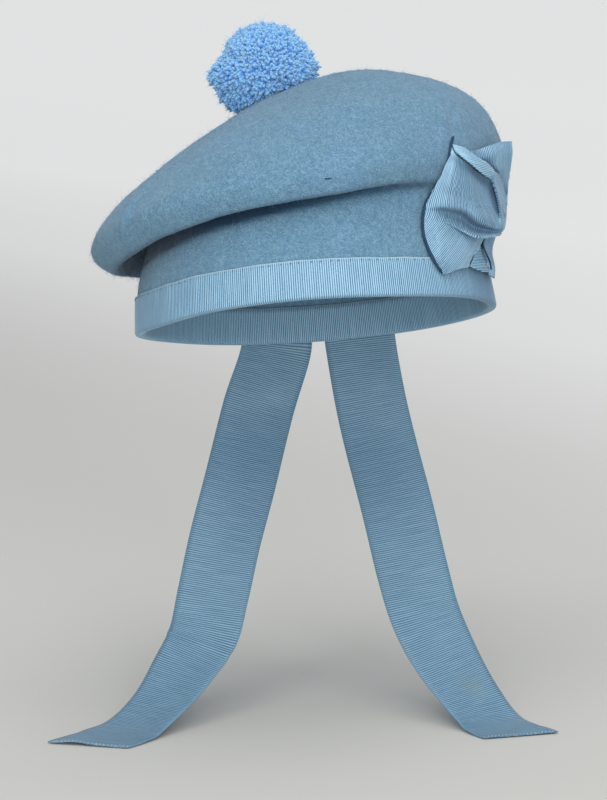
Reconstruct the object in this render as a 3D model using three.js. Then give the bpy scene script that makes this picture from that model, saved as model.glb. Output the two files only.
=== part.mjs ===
// A balmoral bonnet, as it sits on a head: a felted wool body with a wide soft crown pulled down to the
// wearer's right, a grosgrain binding over the rim with two free tails at the back, a folded ribbon
// cockade on the wearer's left and a cut-yarn toorie on the middle of the crown.
// Millimetres, +Z up, the front of the hat faces -Y, the wearer's left is +X. The origin is the middle
// of the head opening.
import * as THREE from 'three';

// driving dimensions
const rimTiltBack = THREE.MathUtils.degToRad(13.7);
const rimTiltSide = THREE.MathUtils.degToRad(4.3);
const feltThickness = 2.8;
const rimHalfWidth = 89.4;
const rimHalfLength = 99.4;
const ribbonWidth = 38;
const ribbonThickness = 1.0;
const gap = 0.35;
const bandTopOut = -1.8;
const bandTopUp = 20;
const bandDropShare = 0.7;

// mesh fineness
const stepsAround = 44;
const stepsUpCrown = 28;
const stepsAlongTail = 40;
const stepsAcrossTail = 4;
const stepsRoundToorie = 24;
const stepsAcrossCockade = 6;
const stepsAlongCockade = 20;

// The middle of the crown, in the hat's own frame (x to the wearer's left, y back, z up from the rim).
const crownMiddle = new THREE.Vector3(-10, -5, 113.5);

// The toorie is sewn on a little down the slope from there.
const toorieShift = new THREE.Vector3(-2.5, 0, -0.45);

// One row for each section of the crown, by its bearing from the front (positive to the wearer's left).
// Each point of a section is how far it stands out from the rim's ellipse, and how high it is above the
// rim: the crease under the fold, the fold's lip, the crown's edge, its shoulder and the slope above it.
// rimDrop is how far the soft rim dips there.
const crownSections = [
  { bearing: 0, rimDrop: 1.4, creaseOut: -6, creaseUp: 49, lipOut: 4, lipUp: 44, edgeOut: 9, edgeUp: 55,
    shoulderOut: -12, shoulderUp: 84, slopeOut: -50, slopeUp: 104 },
  { bearing: 30, rimDrop: 1.6, creaseOut: -3, creaseUp: 50, lipOut: 2, lipUp: 50.5, edgeOut: 7, edgeUp: 62,
    shoulderOut: -10, shoulderUp: 91, slopeOut: -48, slopeUp: 110 },
  { bearing: 60, rimDrop: 0.6, creaseOut: 0, creaseUp: 44, lipOut: 3, lipUp: 54, edgeOut: 7, edgeUp: 68,
    shoulderOut: -1.5, shoulderUp: 96, slopeOut: -44, slopeUp: 117 },
  { bearing: 90, rimDrop: 0.6, creaseOut: 1, creaseUp: 40, lipOut: 4, lipUp: 52, edgeOut: 10.5, edgeUp: 76,
    shoulderOut: -2, shoulderUp: 102, slopeOut: -40, slopeUp: 119 },
  { bearing: 120, rimDrop: 0, creaseOut: 1, creaseUp: 38, lipOut: 5, lipUp: 47, edgeOut: 13, edgeUp: 66,
    shoulderOut: -5.5, shoulderUp: 96, slopeOut: -42, slopeUp: 115.5 },
  { bearing: 150, rimDrop: 0, creaseOut: -2, creaseUp: 38, lipOut: 7, lipUp: 37, edgeOut: 16, edgeUp: 50,
    shoulderOut: -8, shoulderUp: 85, slopeOut: -48, slopeUp: 109 },
  { bearing: 180, rimDrop: 0, creaseOut: -5, creaseUp: 39, lipOut: 6, lipUp: 33, edgeOut: 15, edgeUp: 45,
    shoulderOut: -10, shoulderUp: 77, slopeOut: -50, slopeUp: 103 },
  { bearing: 210, rimDrop: 0, creaseOut: -5, creaseUp: 40, lipOut: 7, lipUp: 33.5, edgeOut: 17, edgeUp: 45,
    shoulderOut: -9, shoulderUp: 70, slopeOut: -50, slopeUp: 98 },
  { bearing: 240, rimDrop: 0, creaseOut: -6, creaseUp: 42, lipOut: 8, lipUp: 33, edgeOut: 20, edgeUp: 44,
    shoulderOut: -8, shoulderUp: 68, slopeOut: -46, slopeUp: 96 },
  { bearing: 270, rimDrop: 1.5, creaseOut: -7, creaseUp: 43, lipOut: 8, lipUp: 30, edgeOut: 20.5, edgeUp: 41,
    shoulderOut: -8, shoulderUp: 71.5, slopeOut: -45, slopeUp: 97 },
  { bearing: 300, rimDrop: 3.4, creaseOut: -7, creaseUp: 45, lipOut: 6, lipUp: 33, edgeOut: 17, edgeUp: 45,
    shoulderOut: -10, shoulderUp: 74, slopeOut: -48, slopeUp: 98 },
  { bearing: 330, rimDrop: 1.9, creaseOut: -6, creaseUp: 48, lipOut: 5, lipUp: 39, edgeOut: 12, edgeUp: 50,
    shoulderOut: -11, shoulderUp: 79, slopeOut: -50, slopeUp: 101 },
];

// The free stretch of each tail's centre line, from below the back of the rim to the cut end on the
// table. turn is the bearing of the ribbon's width in degrees, from +X towards the back.
const tails = [
  { name: 'ribbon_tail_left', seamBearing: 166, endSlant: 6.5, rows: [
    { x: 31, y: 96, z: -62, turn: -6 },
    { x: 44.1, y: 72, z: -112.3, turn: 0 },
    { x: 51.5, y: 58, z: -142.3, turn: 4 },
    { x: 57.9, y: 47, z: -163.3, turn: 10 },
    { x: 67.4, y: 37, z: -182.1, turn: 20 },
    { x: 79, y: 26, z: -198.9, turn: 32 },
    { x: 90, y: 13.3, z: -210.5, turn: 40 },
    { x: 96.7, y: 2.9, z: -212.3, turn: 38 },
    { x: 104.6, y: -8.2, z: -212.3, turn: 32 },
  ] },
  { name: 'ribbon_tail_right', seamBearing: 194, endSlant: -9, rows: [
    { x: -30, y: 96, z: -60, turn: 6 },
    { x: -40, y: 74, z: -98.4, turn: 2 },
    { x: -47.4, y: 61, z: -125.7, turn: -3 },
    { x: -53.3, y: 49, z: -152.1, turn: -8 },
    { x: -58.3, y: 39.5, z: -172.1, turn: -15 },
    { x: -67.4, y: 30, z: -186.3, turn: -25 },
    { x: -78.1, y: 18, z: -200.3, turn: -39 },
    { x: -92.4, y: 1, z: -210.9, turn: -48 },
    { x: -102.3, y: -12.1, z: -212.3, turn: -44 },
    { x: -114.2, y: -27, z: -212.3, turn: -38 },
  ] },
];
const seamHeights = [16.5, 8, -2];
const seamHug = 1.6;
const seamSlack = 0.7;
const freeHug = 0.6;

// The toorie's outline above the crown: distance from its middle line and height.
const toorieOutline = [
  { out: 0, up: 0 },
  { out: 12, up: 0 },
  { out: 20, up: 0.6 },
  { out: 24.5, up: 4 },
  { out: 26.7, up: 10 },
  { out: 27, up: 17 },
  { out: 25.4, up: 24 },
  { out: 21.4, up: 30 },
  { out: 14.8, up: 34.6 },
  { out: 7.5, up: 37 },
  { out: 0, up: 37.6 },
];

// The cockade's two layers of folded ribbon, a row for each fold, each with the bearing, the height above
// the rim and the distance out from the rim's ellipse at its left edge, its middle and its right edge.
const cockadeLayers = [
  { name: 'cockade_front', folds: [
    { leftBearing: 42, leftOut: 1.9, leftUp: 8, midBearing: 49, midOut: 3.4, midUp: 10,
      rightBearing: 53, rightOut: 3.5, rightUp: 11.5 },
    { leftBearing: 40, leftOut: 0.9, leftUp: 14.5, midBearing: 50, midOut: 4.2, midUp: 18.5,
      rightBearing: 56, rightOut: 5.1, rightUp: 21 },
    { leftBearing: 39, leftOut: -0.6, leftUp: 22.5, midBearing: 48, midOut: 4.8, midUp: 25,
      rightBearing: 56, rightOut: 6.5, rightUp: 26 },
    { leftBearing: 38, leftOut: -1.2, leftUp: 29, midBearing: 49, midOut: 3.9, midUp: 33,
      rightBearing: 60, rightOut: 7, rightUp: 29 },
    { leftBearing: 38.5, leftOut: -1.6, leftUp: 38, midBearing: 49, midOut: 7.1, midUp: 39,
      rightBearing: 67, rightOut: 12.5, rightUp: 30.5 },
    { leftBearing: 40.5, leftOut: -1.2, leftUp: 44, midBearing: 52, midOut: 9.8, midUp: 43.5,
      rightBearing: 68, rightOut: 14, rightUp: 38.5 },
    { leftBearing: 42.5, leftOut: 2.2, leftUp: 50, midBearing: 51, midOut: 11.4, midUp: 51.5,
      rightBearing: 63.5, rightOut: 13.5, rightUp: 49 },
    { leftBearing: 43.5, leftOut: 5.6, leftUp: 56, midBearing: 52, midOut: 11, midUp: 57,
      rightBearing: 62, rightOut: 13, rightUp: 54 },
    { leftBearing: 46, leftOut: 8.8, leftUp: 68, midBearing: 53, midOut: 11, midUp: 62,
      rightBearing: 61.5, rightOut: 12.6, rightUp: 57 },
  ] },
  { name: 'cockade_back', folds: [
    { leftBearing: 50, leftOut: 7.4, leftUp: 69, midBearing: 63, midOut: 11, midUp: 71.5,
      rightBearing: 74, rightOut: 16.8, rightUp: 76 },
    { leftBearing: 50, leftOut: 7.2, leftUp: 63, midBearing: 62, midOut: 10.1, midUp: 63.5,
      rightBearing: 72, rightOut: 17.3, rightUp: 68.5 },
    { leftBearing: 53, leftOut: 4.6, leftUp: 55, midBearing: 63, midOut: 9, midUp: 56,
      rightBearing: 71, rightOut: 16, rightUp: 58 },
    { leftBearing: 56, leftOut: 1.5, leftUp: 45, midBearing: 66, midOut: 6.4, midUp: 47,
      rightBearing: 73.5, rightOut: 13, rightUp: 51 },
    { leftBearing: 56.5, leftOut: 0.4, leftUp: 35, midBearing: 68, midOut: 4, midUp: 36,
      rightBearing: 79, rightOut: 8.2, rightUp: 38 },
    { leftBearing: 56, leftOut: 0.2, leftUp: 23.5, midBearing: 66.5, midOut: 1.6, midUp: 25,
      rightBearing: 75, rightOut: 3.5, rightUp: 27 },
    { leftBearing: 57, leftOut: 1.1, leftUp: 13, midBearing: 67, midOut: 1.7, midUp: 12,
      rightBearing: 78, rightOut: 2.3, rightUp: 11 },
  ] },
];

// Catmull-Rom value between b and c.
function smoothBetween(a, b, c, d, t) {
  const t2 = t * t;
  const t3 = t2 * t;
  return 0.5 * (2 * b + (c - a) * t + (2 * a - 5 * b + 4 * c - d) * t2 + (3 * b - a - 3 * c + d) * t3);
}

// The crown's section at any bearing, in degrees, smooth from row to row.
function sectionAt(bearing) {
  const count = crownSections.length;
  const place = (((bearing % 360) + 360) % 360) / (360 / count);
  const first = Math.floor(place) % count;
  const rows = [first + count - 1, first, first + 1, first + 2].map((i) => crownSections[i % count]);
  const section = {};
  for (const column of Object.keys(rows[0])) {
    const [a, b, c, d] = rows.map((row) => row[column]);
    section[column] = smoothBetween(a, b, c, d, place - Math.floor(place));
  }
  return section;
}

// A point that stands out from the rim's ellipse at a bearing, at a height above the rim.
function rimPoint(bearing, out, up) {
  const angle = THREE.MathUtils.degToRad(bearing);
  const side = Math.sin(angle);
  const front = -Math.cos(angle);
  const normal = new THREE.Vector2(side / rimHalfWidth, front / rimHalfLength).normalize();
  return new THREE.Vector3(
    side * rimHalfWidth + normal.x * out,
    front * rimHalfLength + normal.y * out,
    up,
  );
}

// One section of the crown's outer face, from the rim to the middle of the crown and on past it.
function crownCurve(bearing) {
  const s = sectionAt(bearing);
  const across = sectionAt(bearing + 180);
  const points = [
    rimPoint(bearing, 0, -s.rimDrop),
    rimPoint(bearing, bandTopOut, bandTopUp - s.rimDrop * bandDropShare),
    rimPoint(bearing, s.creaseOut, s.creaseUp),
    rimPoint(bearing, s.lipOut, s.lipUp),
    rimPoint(bearing, s.edgeOut, s.edgeUp),
    rimPoint(bearing, s.shoulderOut, s.shoulderUp),
    rimPoint(bearing, s.slopeOut, s.slopeUp),
    crownMiddle,
    rimPoint(bearing + 180, across.slopeOut, across.slopeUp),
  ];
  return new THREE.CatmullRomCurve3(points, false, 'centripetal');
}

// The share of the curve's own parameter at which it reaches the middle of the crown.
const curveEnd = 7 / 8;

// A closed body from points and triangles, turned so that its faces point outwards.
function solid(name, points, triangles, material) {
  let volume = 0;
  for (const [a, b, c] of triangles) {
    volume += points[a].dot(new THREE.Vector3().crossVectors(points[b], points[c]));
  }
  const order = volume < 0 ? triangles.map(([a, b, c]) => [a, c, b]) : triangles;
  const geometry = new THREE.BufferGeometry();
  geometry.setAttribute(
    'position',
    new THREE.Float32BufferAttribute(points.flatMap((p) => [p.x, p.y, p.z]), 3),
  );
  geometry.setIndex(order.flat());
  geometry.computeVertexNormals();
  const mesh = new THREE.Mesh(geometry, material);
  mesh.name = name;
  return mesh;
}

function feltCrown(material) {
  const outer = [];
  const inner = [];
  const curves = [];
  for (let i = 0; i < stepsAround; i += 1) {
    curves.push(crownCurve((360 * i) / stepsAround));
  }
  const shares = [];
  for (let j = 0; j <= stepsUpCrown; j += 1) {
    shares.push((curveEnd * j) / stepsUpCrown);
  }
  const at = (i, j) => curves[(i + stepsAround) % stepsAround].getPoint(shares[j]);
  const small = 0.0005;
  for (let j = 0; j < stepsUpCrown; j += 1) {
    for (let i = 0; i < stepsAround; i += 1) {
      const point = at(i, j);
      const low = curves[i].getPoint(Math.max(shares[j] - small, 0));
      const along = curves[i].getPoint(shares[j] + small).sub(low);
      const around = at(i + 1, j).sub(at(i - 1, j));
      const normal = new THREE.Vector3().crossVectors(around, along).normalize();
      outer.push(point);
      inner.push(point.clone().addScaledVector(normal, -feltThickness));
    }
  }
  const rimLevel = inner.slice(0, stepsAround);
  rimLevel.forEach((p, i) => {
    p.z = outer[i].z;
  });
  outer.push(crownMiddle.clone());
  const slopeNormal = new THREE.Vector3();
  for (let i = 0; i < stepsAround; i += 1) {
    const a = at(i, stepsUpCrown - 1).sub(crownMiddle);
    const b = at(i + 1, stepsUpCrown - 1).sub(crownMiddle);
    slopeNormal.add(a.cross(b));
  }
  slopeNormal.normalize();
  inner.push(crownMiddle.clone().addScaledVector(slopeNormal, -feltThickness));
  const points = [...outer, ...inner];
  const shift = outer.length;
  const triangles = [];
  const pole = stepsAround * stepsUpCrown;
  for (let i = 0; i < stepsAround; i += 1) {
    const next = (i + 1) % stepsAround;
    for (let j = 0; j < stepsUpCrown - 1; j += 1) {
      const a = j * stepsAround + i;
      const b = j * stepsAround + next;
      const c = a + stepsAround;
      const d = b + stepsAround;
      triangles.push([a, b, d], [a, d, c]);
      triangles.push([a + shift, d + shift, b + shift], [a + shift, c + shift, d + shift]);
    }
    const top = (stepsUpCrown - 1) * stepsAround;
    triangles.push([top + i, top + next, pole]);
    triangles.push([top + i + shift, pole + shift, top + next + shift]);
    triangles.push([i, i + shift, next + shift], [i, next + shift, next]);
  }
  return solid('felt_crown', points, triangles, material);
}

// The felt's outer face at a bearing and a height above the rim, moved straight out by a distance.
function wallPoint(bearing, up, out) {
  const curve = crownCurve(bearing);
  const start = curve.getPoint(0);
  const next = curve.getPoint(1 / 8);
  const share = up / (next.z - start.z);
  const point = share < 0 ? start.clone().lerp(next, share) : curve.getPoint(share / 8);
  const angle = THREE.MathUtils.degToRad(bearing);
  const side = Math.sin(angle) / rimHalfWidth;
  const front = -Math.cos(angle) / rimHalfLength;
  const normal = new THREE.Vector2(side, front).normalize();
  point.x += normal.x * out;
  point.y += normal.y * out;
  return point;
}

// The binding's section: up one side of the felt's edge and down the other, as offsets from the outer
// face and heights above the rim.
function bindingSection() {
  const leaf = ribbonWidth / 2 - 1.5;
  const outside = gap + ribbonThickness;
  const inside = -feltThickness - gap - ribbonThickness;
  const middle = (outside + inside) / 2;
  return [
    { out: outside, up: leaf },
    { out: outside, up: leaf / 2 },
    { out: outside, up: 0.5 },
    { out: outside - 0.9, up: -gap - ribbonThickness * 0.8 },
    { out: middle, up: -gap - ribbonThickness },
    { out: inside + 0.9, up: -gap - ribbonThickness * 0.8 },
    { out: inside, up: 0.5 },
    { out: inside, up: leaf / 2 },
    { out: inside, up: leaf },
    { out: inside + ribbonThickness, up: leaf },
    { out: inside + ribbonThickness, up: leaf / 2 },
    { out: inside + ribbonThickness, up: -gap },
    { out: gap, up: -gap },
    { out: gap, up: leaf / 2 },
    { out: gap, up: leaf },
  ];
}

function rimBinding(material) {
  const section = bindingSection();
  const points = [];
  const triangles = [];
  for (let i = 0; i < stepsAround; i += 1) {
    const bearing = (360 * i) / stepsAround;
    section.forEach((s) => points.push(wallPoint(bearing, s.up, s.out)));
  }
  const count = section.length;
  for (let i = 0; i < stepsAround; i += 1) {
    const next = ((i + 1) % stepsAround) * count;
    for (let k = 0; k < count; k += 1) {
      const a = i * count + k;
      const b = i * count + ((k + 1) % count);
      const c = next + k;
      const d = next + ((k + 1) % count);
      triangles.push([a, b, d], [a, d, c]);
    }
  }
  return solid('rim_binding', points, triangles, material);
}

// A sheet with a thickness, from a grid of points (rows of equal length).
function sheetSolid(name, grid, thickness, material) {
  const rows = grid.length;
  const columns = grid[0].length;
  const front = [];
  const back = [];
  for (let j = 0; j < rows; j += 1) {
    for (let i = 0; i < columns; i += 1) {
      const along = grid[Math.min(j + 1, rows - 1)][i].clone().sub(grid[Math.max(j - 1, 0)][i]);
      const across = grid[j][Math.min(i + 1, columns - 1)].clone().sub(grid[j][Math.max(i - 1, 0)]);
      const normal = along.cross(across).normalize().multiplyScalar(thickness / 2);
      front.push(grid[j][i].clone().add(normal));
      back.push(grid[j][i].clone().sub(normal));
    }
  }
  const shift = front.length;
  const triangles = [];
  for (let j = 0; j < rows - 1; j += 1) {
    for (let i = 0; i < columns - 1; i += 1) {
      const a = j * columns + i;
      const b = a + 1;
      const c = a + columns;
      const d = c + 1;
      triangles.push([a, b, d], [a, d, c]);
      triangles.push([a + shift, d + shift, b + shift], [a + shift, c + shift, d + shift]);
    }
  }
  const border = [];
  for (let i = 0; i < columns; i += 1) border.push(i);
  for (let j = 1; j < rows; j += 1) border.push(j * columns + columns - 1);
  for (let i = columns - 2; i >= 0; i -= 1) border.push((rows - 1) * columns + i);
  for (let j = rows - 2; j > 0; j -= 1) border.push(j * columns);
  border.forEach((a, k) => {
    const b = border[(k + 1) % border.length];
    triangles.push([b, a, a + shift], [b, a + shift, b + shift]);
  });
  return solid(name, [...front, ...back], triangles, material);
}

function ribbonTail(tail, hat, material) {
  const standOff = 2 * gap + 1.5 * ribbonThickness + seamSlack;
  const places = seamHeights.map((up) => hat.localToWorld(wallPoint(tail.seamBearing, up, standOff)));
  const seamTurn = tail.rows[0].turn * 2;
  const turns = [...seamHeights.map(() => seamTurn), ...tail.rows.map((row) => row.turn)];
  tail.rows.forEach((row) => places.push(new THREE.Vector3(row.x, row.y, row.z)));
  const centre = new THREE.CatmullRomCurve3(places, false, 'centripetal');
  const turnLine = new THREE.SplineCurve(turns.map((turn, i) => new THREE.Vector2(i, turn)));
  const grid = [];
  for (let j = 0; j <= stepsAlongTail; j += 1) {
    const share = j / stepsAlongTail;
    const parameter = centre.getUtoTmapping(share);
    const middle = centre.getPoint(parameter);
    const along = centre.getTangent(parameter);
    const turn = THREE.MathUtils.degToRad(turnLine.getPoint(parameter).y);
    const width = new THREE.Vector3(Math.cos(turn), Math.sin(turn), 0);
    width.addScaledVector(along, -width.dot(along)).normalize();
    const face = new THREE.Vector3().crossVectors(along, width);
    const hug = THREE.MathUtils.lerp(seamHug, freeHug, Math.min(share * 5, 1)) * Math.min((1 - share) * 6, 1);
    const slant = tail.endSlant * THREE.MathUtils.smoothstep(share, 0.85, 1);
    const row = [];
    for (let i = 0; i <= stepsAcrossTail; i += 1) {
      const side = (2 * i) / stepsAcrossTail - 1;
      const point = middle.clone().addScaledVector(width, (side * ribbonWidth) / 2);
      point.addScaledVector(face, side * side * hug);
      point.addScaledVector(along, side * slant);
      row.push(point);
    }
    grid.push(row);
  }
  return sheetSolid(tail.name, grid, ribbonThickness, material);
}

function cockadeLayer(layer, material) {
  const across = layer.folds.map((fold) => new THREE.CatmullRomCurve3([
    rimPoint(fold.leftBearing, fold.leftOut, fold.leftUp),
    rimPoint(fold.midBearing, fold.midOut, fold.midUp),
    rimPoint(fold.rightBearing, fold.rightOut, fold.rightUp),
  ]));
  const grid = [];
  for (let j = 0; j <= stepsAlongCockade; j += 1) grid.push([]);
  for (let i = 0; i <= stepsAcrossCockade; i += 1) {
    const column = across.map((curve) => curve.getPoint(i / stepsAcrossCockade));
    const up = new THREE.CatmullRomCurve3(column, false, 'centripetal');
    grid.forEach((row, j) => row.push(up.getPoint(j / stepsAlongCockade)));
  }
  return sheetSolid(layer.name, grid, ribbonThickness, material);
}

function toorie(material) {
  const outline = toorieOutline.map((row) => new THREE.Vector2(row.out, row.up));
  const geometry = new THREE.LatheGeometry(outline, stepsRoundToorie);
  geometry.rotateX(Math.PI / 2);
  const mesh = new THREE.Mesh(geometry, material);
  mesh.name = 'toorie';
  mesh.position.copy(crownMiddle).add(toorieShift);
  mesh.quaternion.setFromUnitVectors(new THREE.Vector3(0, 0, 1), crownNormal());
  return mesh;
}

// The way the crown faces at its middle.
function crownNormal() {
  const sum = new THREE.Vector3();
  for (let i = 0; i < stepsAround; i += 1) {
    const near = (bearing) => crownCurve(bearing).getPoint(curveEnd * 0.97).sub(crownMiddle);
    const a = near((360 * i) / stepsAround);
    const b = near((360 * (i + 1)) / stepsAround);
    sum.add(a.cross(b));
  }
  return sum.normalize();
}

const felt = new THREE.MeshStandardMaterial({ color: 0x5f86a6, roughness: 0.95, metalness: 0 });
const grosgrain = new THREE.MeshStandardMaterial({ color: 0x7fabcf, roughness: 0.6, metalness: 0 });
const yarn = new THREE.MeshStandardMaterial({ color: 0x5f9be0, roughness: 0.9, metalness: 0 });

const hat = new THREE.Group();
hat.rotation.set(-rimTiltBack, -rimTiltSide, 0, 'YXZ');
hat.updateMatrixWorld(true);
hat.add(feltCrown(felt));
hat.add(rimBinding(grosgrain));
hat.add(toorie(yarn));
cockadeLayers.forEach((layer) => hat.add(cockadeLayer(layer, grosgrain)));

const bonnet = new THREE.Group();
bonnet.add(hat);
tails.forEach((tail) => bonnet.add(ribbonTail(tail, hat, grosgrain)));
export default bonnet;
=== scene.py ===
import math
import bpy
import numpy as np
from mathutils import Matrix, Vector, noise


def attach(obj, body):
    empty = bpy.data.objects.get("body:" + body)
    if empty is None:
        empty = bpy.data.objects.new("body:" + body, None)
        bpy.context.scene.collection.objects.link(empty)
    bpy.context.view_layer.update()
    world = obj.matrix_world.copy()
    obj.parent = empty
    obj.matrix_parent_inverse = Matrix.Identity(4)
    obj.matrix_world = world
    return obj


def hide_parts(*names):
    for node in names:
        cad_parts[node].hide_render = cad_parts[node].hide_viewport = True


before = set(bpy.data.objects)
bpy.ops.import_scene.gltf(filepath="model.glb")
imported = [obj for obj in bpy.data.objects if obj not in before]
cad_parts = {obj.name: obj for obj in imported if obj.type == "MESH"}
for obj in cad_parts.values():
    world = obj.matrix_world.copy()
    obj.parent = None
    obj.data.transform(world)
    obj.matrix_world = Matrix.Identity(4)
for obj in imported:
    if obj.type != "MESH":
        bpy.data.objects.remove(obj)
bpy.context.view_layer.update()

# A balmoral bonnet in felted wool, with its ribbon binding, tails, cockade and yarn toorie.
# Shapes are worked out in millimetres in the hat's own frame (x to the wearer's left, y back,
# z up from the rim), then turned to sit as worn and written in metres.
bpy.ops.object.select_all(action="DESELECT")
mm = 0.001


# Camera, light and floor

viewCamera = {
    "place": (-0.006, -1.4887, 0.1836),
    "pitchDown": 8.6,      # degrees
    "lens": 135,
    "sensorHeight": 36,
}

studio = {
    "lights": [
        {"name": "keyLight", "kind": "AREA", "place": (-0.8, -1.5, 1.5), "size": 1.0, "energy": 7},
        {"name": "fillLight", "kind": "AREA", "place": (0.15, -2.0, 0.35), "size": 1.2, "energy": 26},
        {"name": "topLight", "kind": "AREA", "place": (0.3, 0.2, 1.7), "size": 1.2, "energy": 4},
        {"name": "skylight", "kind": "SUN", "place": (0.12, -1.4, 2.5), "energy": 1.37, "spread": 50,
         "colour": "#fffbf4"},
    ],
    "worldColour": "#e8eff8",
    "worldStrength": 0.5,
    "floorHeight": -0.2133,
    "floorSize": 120,
    # painted light: the floor's tone runs from darker near to brighter far, by distance back and to the
    # side in metres, standing in for how the light falls off over it
    "floorStart": 0.4,
    "floorEnd": 7.0,
    "floorSideways": 1.5,
    "paintedFloorLight": [(0.0, "#c4c3be"), (0.06, "#c8c7c3"), (0.11, "#d0cfcc"), (0.227, "#eae9e7"),
                   (0.43, "#faf9f7"), (1.0, "#fefdfb")],
    "floorShader": {"Roughness": 0.9},
}


def toLinear(hexColour):
    parts = [int(hexColour[i:i + 2], 16) / 255 for i in (1, 3, 5)]
    return [c / 12.92 if c <= 0.04045 else ((c + 0.055) / 1.055) ** 2.4 for c in parts] + [1.0]


def addNode(tree, kind, settings=None, links=None):
    # settings are the node's own options, or values of its sockets, with colours as hex; a link comes
    # from another node's socket, or from the first one when a node is given
    node = tree.nodes.new("ShaderNode" + kind)
    for key, value in (settings or {}).items():
        if key == "stops":
            for extra in value[2:]:
                node.color_ramp.elements.new(extra[0])
            for element, (place, colour) in zip(node.color_ramp.elements, value):
                element.position = place
                element.color = toLinear(colour)
        elif isinstance(key, str) and hasattr(node, key):
            setattr(node, key, value)
        else:
            node.inputs[key].default_value = toLinear(value) if isinstance(value, str) else value
    for key, source in (links or {}).items():
        tree.links.new(getattr(source, "outputs", [source])[0], node.inputs[key])
    return node


def newMaterial(name, settings):
    material = bpy.data.materials.new(name)
    material.use_nodes = True
    tree = material.node_tree
    tree.nodes.clear()
    shader = addNode(tree, "BsdfPrincipled", settings)
    addNode(tree, "OutputMaterial", links={"Surface": shader})
    return material, tree, shader


def addCamera(settings):
    tilt = math.radians(90 - settings["pitchDown"])
    bpy.ops.object.camera_add(location=settings["place"], rotation=(tilt, 0, 0))
    camera = bpy.context.object
    camera.data.sensor_fit = "VERTICAL"
    camera.data.sensor_height = settings["sensorHeight"]
    camera.data.lens = settings["lens"]
    camera.data.dof.use_dof = False
    bpy.context.scene.camera = camera


def addStudio(settings):
    for light in settings["lights"]:
        bpy.ops.object.light_add(type=light["kind"], location=light["place"])
        lamp = bpy.context.object
        lamp.name = light["name"]
        lamp.data.energy = light["energy"]
        lamp.rotation_euler = Vector(light["place"]).to_track_quat("Z", "Y").to_euler()
        if light["kind"] == "SUN":
            lamp.data.angle = math.radians(light["spread"])
            lamp.data.color = toLinear(light["colour"])[:3]
        else:
            lamp.data.size = light["size"]
    world = bpy.data.worlds.new("studioWorld")
    world.use_nodes = True
    background = world.node_tree.nodes["Background"]
    background.inputs["Color"].default_value = toLinear(settings["worldColour"])
    background.inputs["Strength"].default_value = settings["worldStrength"]
    bpy.context.scene.world = world
    bpy.context.scene.view_settings.view_transform = "Standard"


def addFloor(settings):
    bpy.ops.mesh.primitive_plane_add(size=settings["floorSize"], location=(0, 0, settings["floorHeight"]))
    floor = bpy.context.object
    floor.name = "paleFloor"
    material, tree, shader = newMaterial("mattPaperFloor", settings["floorShader"])
    coords = addNode(tree, "TexCoord")
    parts = addNode(tree, "SeparateXYZ", links={"Vector": coords.outputs["Object"]})
    away = addNode(tree, "Math", {"operation": "MULTIPLY_ADD", 1: settings["floorSideways"]},
                   {0: parts.outputs["X"], 2: parts.outputs["Y"]})
    # painted light: the floor is painted brighter with distance back and to the right
    far = addNode(tree, "MapRange",
                  {"From Min": settings["floorStart"], "From Max": settings["floorEnd"]}, {"Value": away})
    tone = addNode(tree, "ValToRGB", {"stops": settings["paintedFloorLight"]}, {"Fac": far})
    tree.links.new(tone.outputs["Color"], shader.inputs["Base Color"])
    floor.data.materials.append(material)


addCamera(viewCamera)
addStudio(studio)
addFloor(studio)
print("camera, lights and floor are set")


# The bonnet's measured shape

hatShape = {
    "tiltBack": 13.7,      # degrees
    "tiltSide": 4.3,
    "rimHalfWidth": 89.4,
    "rimHalfLength": 99.4,
    "feltThickness": 2.8,
    "gap": 0.35,           # mm between the felt and what lies on it
    "bandTopOut": -1.8,
    "bandTopUp": 20,
    "bandDropShare": 0.7,  # how far the band's top follows the drop of the rim
    "crownMiddle": (-10, -5, 113.5),
}

# One row of the crown's section for each bearing, in degrees from the front to the wearer's left: how
# far the rim drops, then how far out from the rim's oval and up each level lies, in mm.
crownColumns = ("bearing", "rimDrop", "creaseOut", "creaseUp", "lipOut", "lipUp", "edgeOut", "edgeUp",
                "shoulderOut", "shoulderUp", "slopeOut", "slopeUp")
crownSections = np.array([
    (0, 1.4, -6, 49, 4, 44, 9, 55, -12, 84, -50, 104),
    (30, 1.6, -3, 50, 2, 50.5, 7, 62, -10, 91, -48, 110),
    (60, 0.6, 0, 44, 3, 54, 7, 68, -1.5, 96, -44, 117),
    (90, 0.6, 1, 40, 4, 52, 10.5, 76, -2, 102, -40, 119),
    (120, 0, 1, 38, 5, 47, 13, 66, -5.5, 96, -42, 115.5),
    (150, 0, -2, 38, 7, 37, 16, 50, -8, 85, -48, 109),
    (180, 0, -5, 39, 6, 33, 15, 45, -10, 77, -50, 103),
    (210, 0, -5, 40, 7, 33.5, 17, 45, -9, 70, -50, 98),
    (240, 0, -6, 42, 8, 33, 20, 44, -8, 68, -46, 96),
    (270, 1.5, -7, 43, 8, 30, 20.5, 41, -8, 71.5, -45, 97),
    (300, 3.4, -7, 45, 6, 33, 17, 45, -10, 74, -48, 98),
    (330, 1.9, -6, 48, 5, 39, 12, 50, -11, 79, -50, 101),
], dtype=float)


def turnOfHat():
    back = math.radians(-hatShape["tiltBack"])
    side = math.radians(-hatShape["tiltSide"])
    c, s = math.cos(back), math.sin(back)
    aboutX = np.array([[1, 0, 0], [0, c, -s], [0, s, c]])
    c, s = math.cos(side), math.sin(side)
    aboutY = np.array([[c, 0, s], [0, 1, 0], [-s, 0, c]])
    return aboutY @ aboutX


hatTurn = turnOfHat()


def asWorn(points):
    return np.asarray(points) @ hatTurn.T


def unit(vectors):
    return vectors / np.maximum(np.linalg.norm(vectors, axis=-1, keepdims=True), 1e-9)


def bell(away, reach):
    return np.exp(-(away / reach) ** 2)


def bearingAway(bearings, bearing):
    return (bearings - bearing + 180) % 360 - 180


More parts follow.
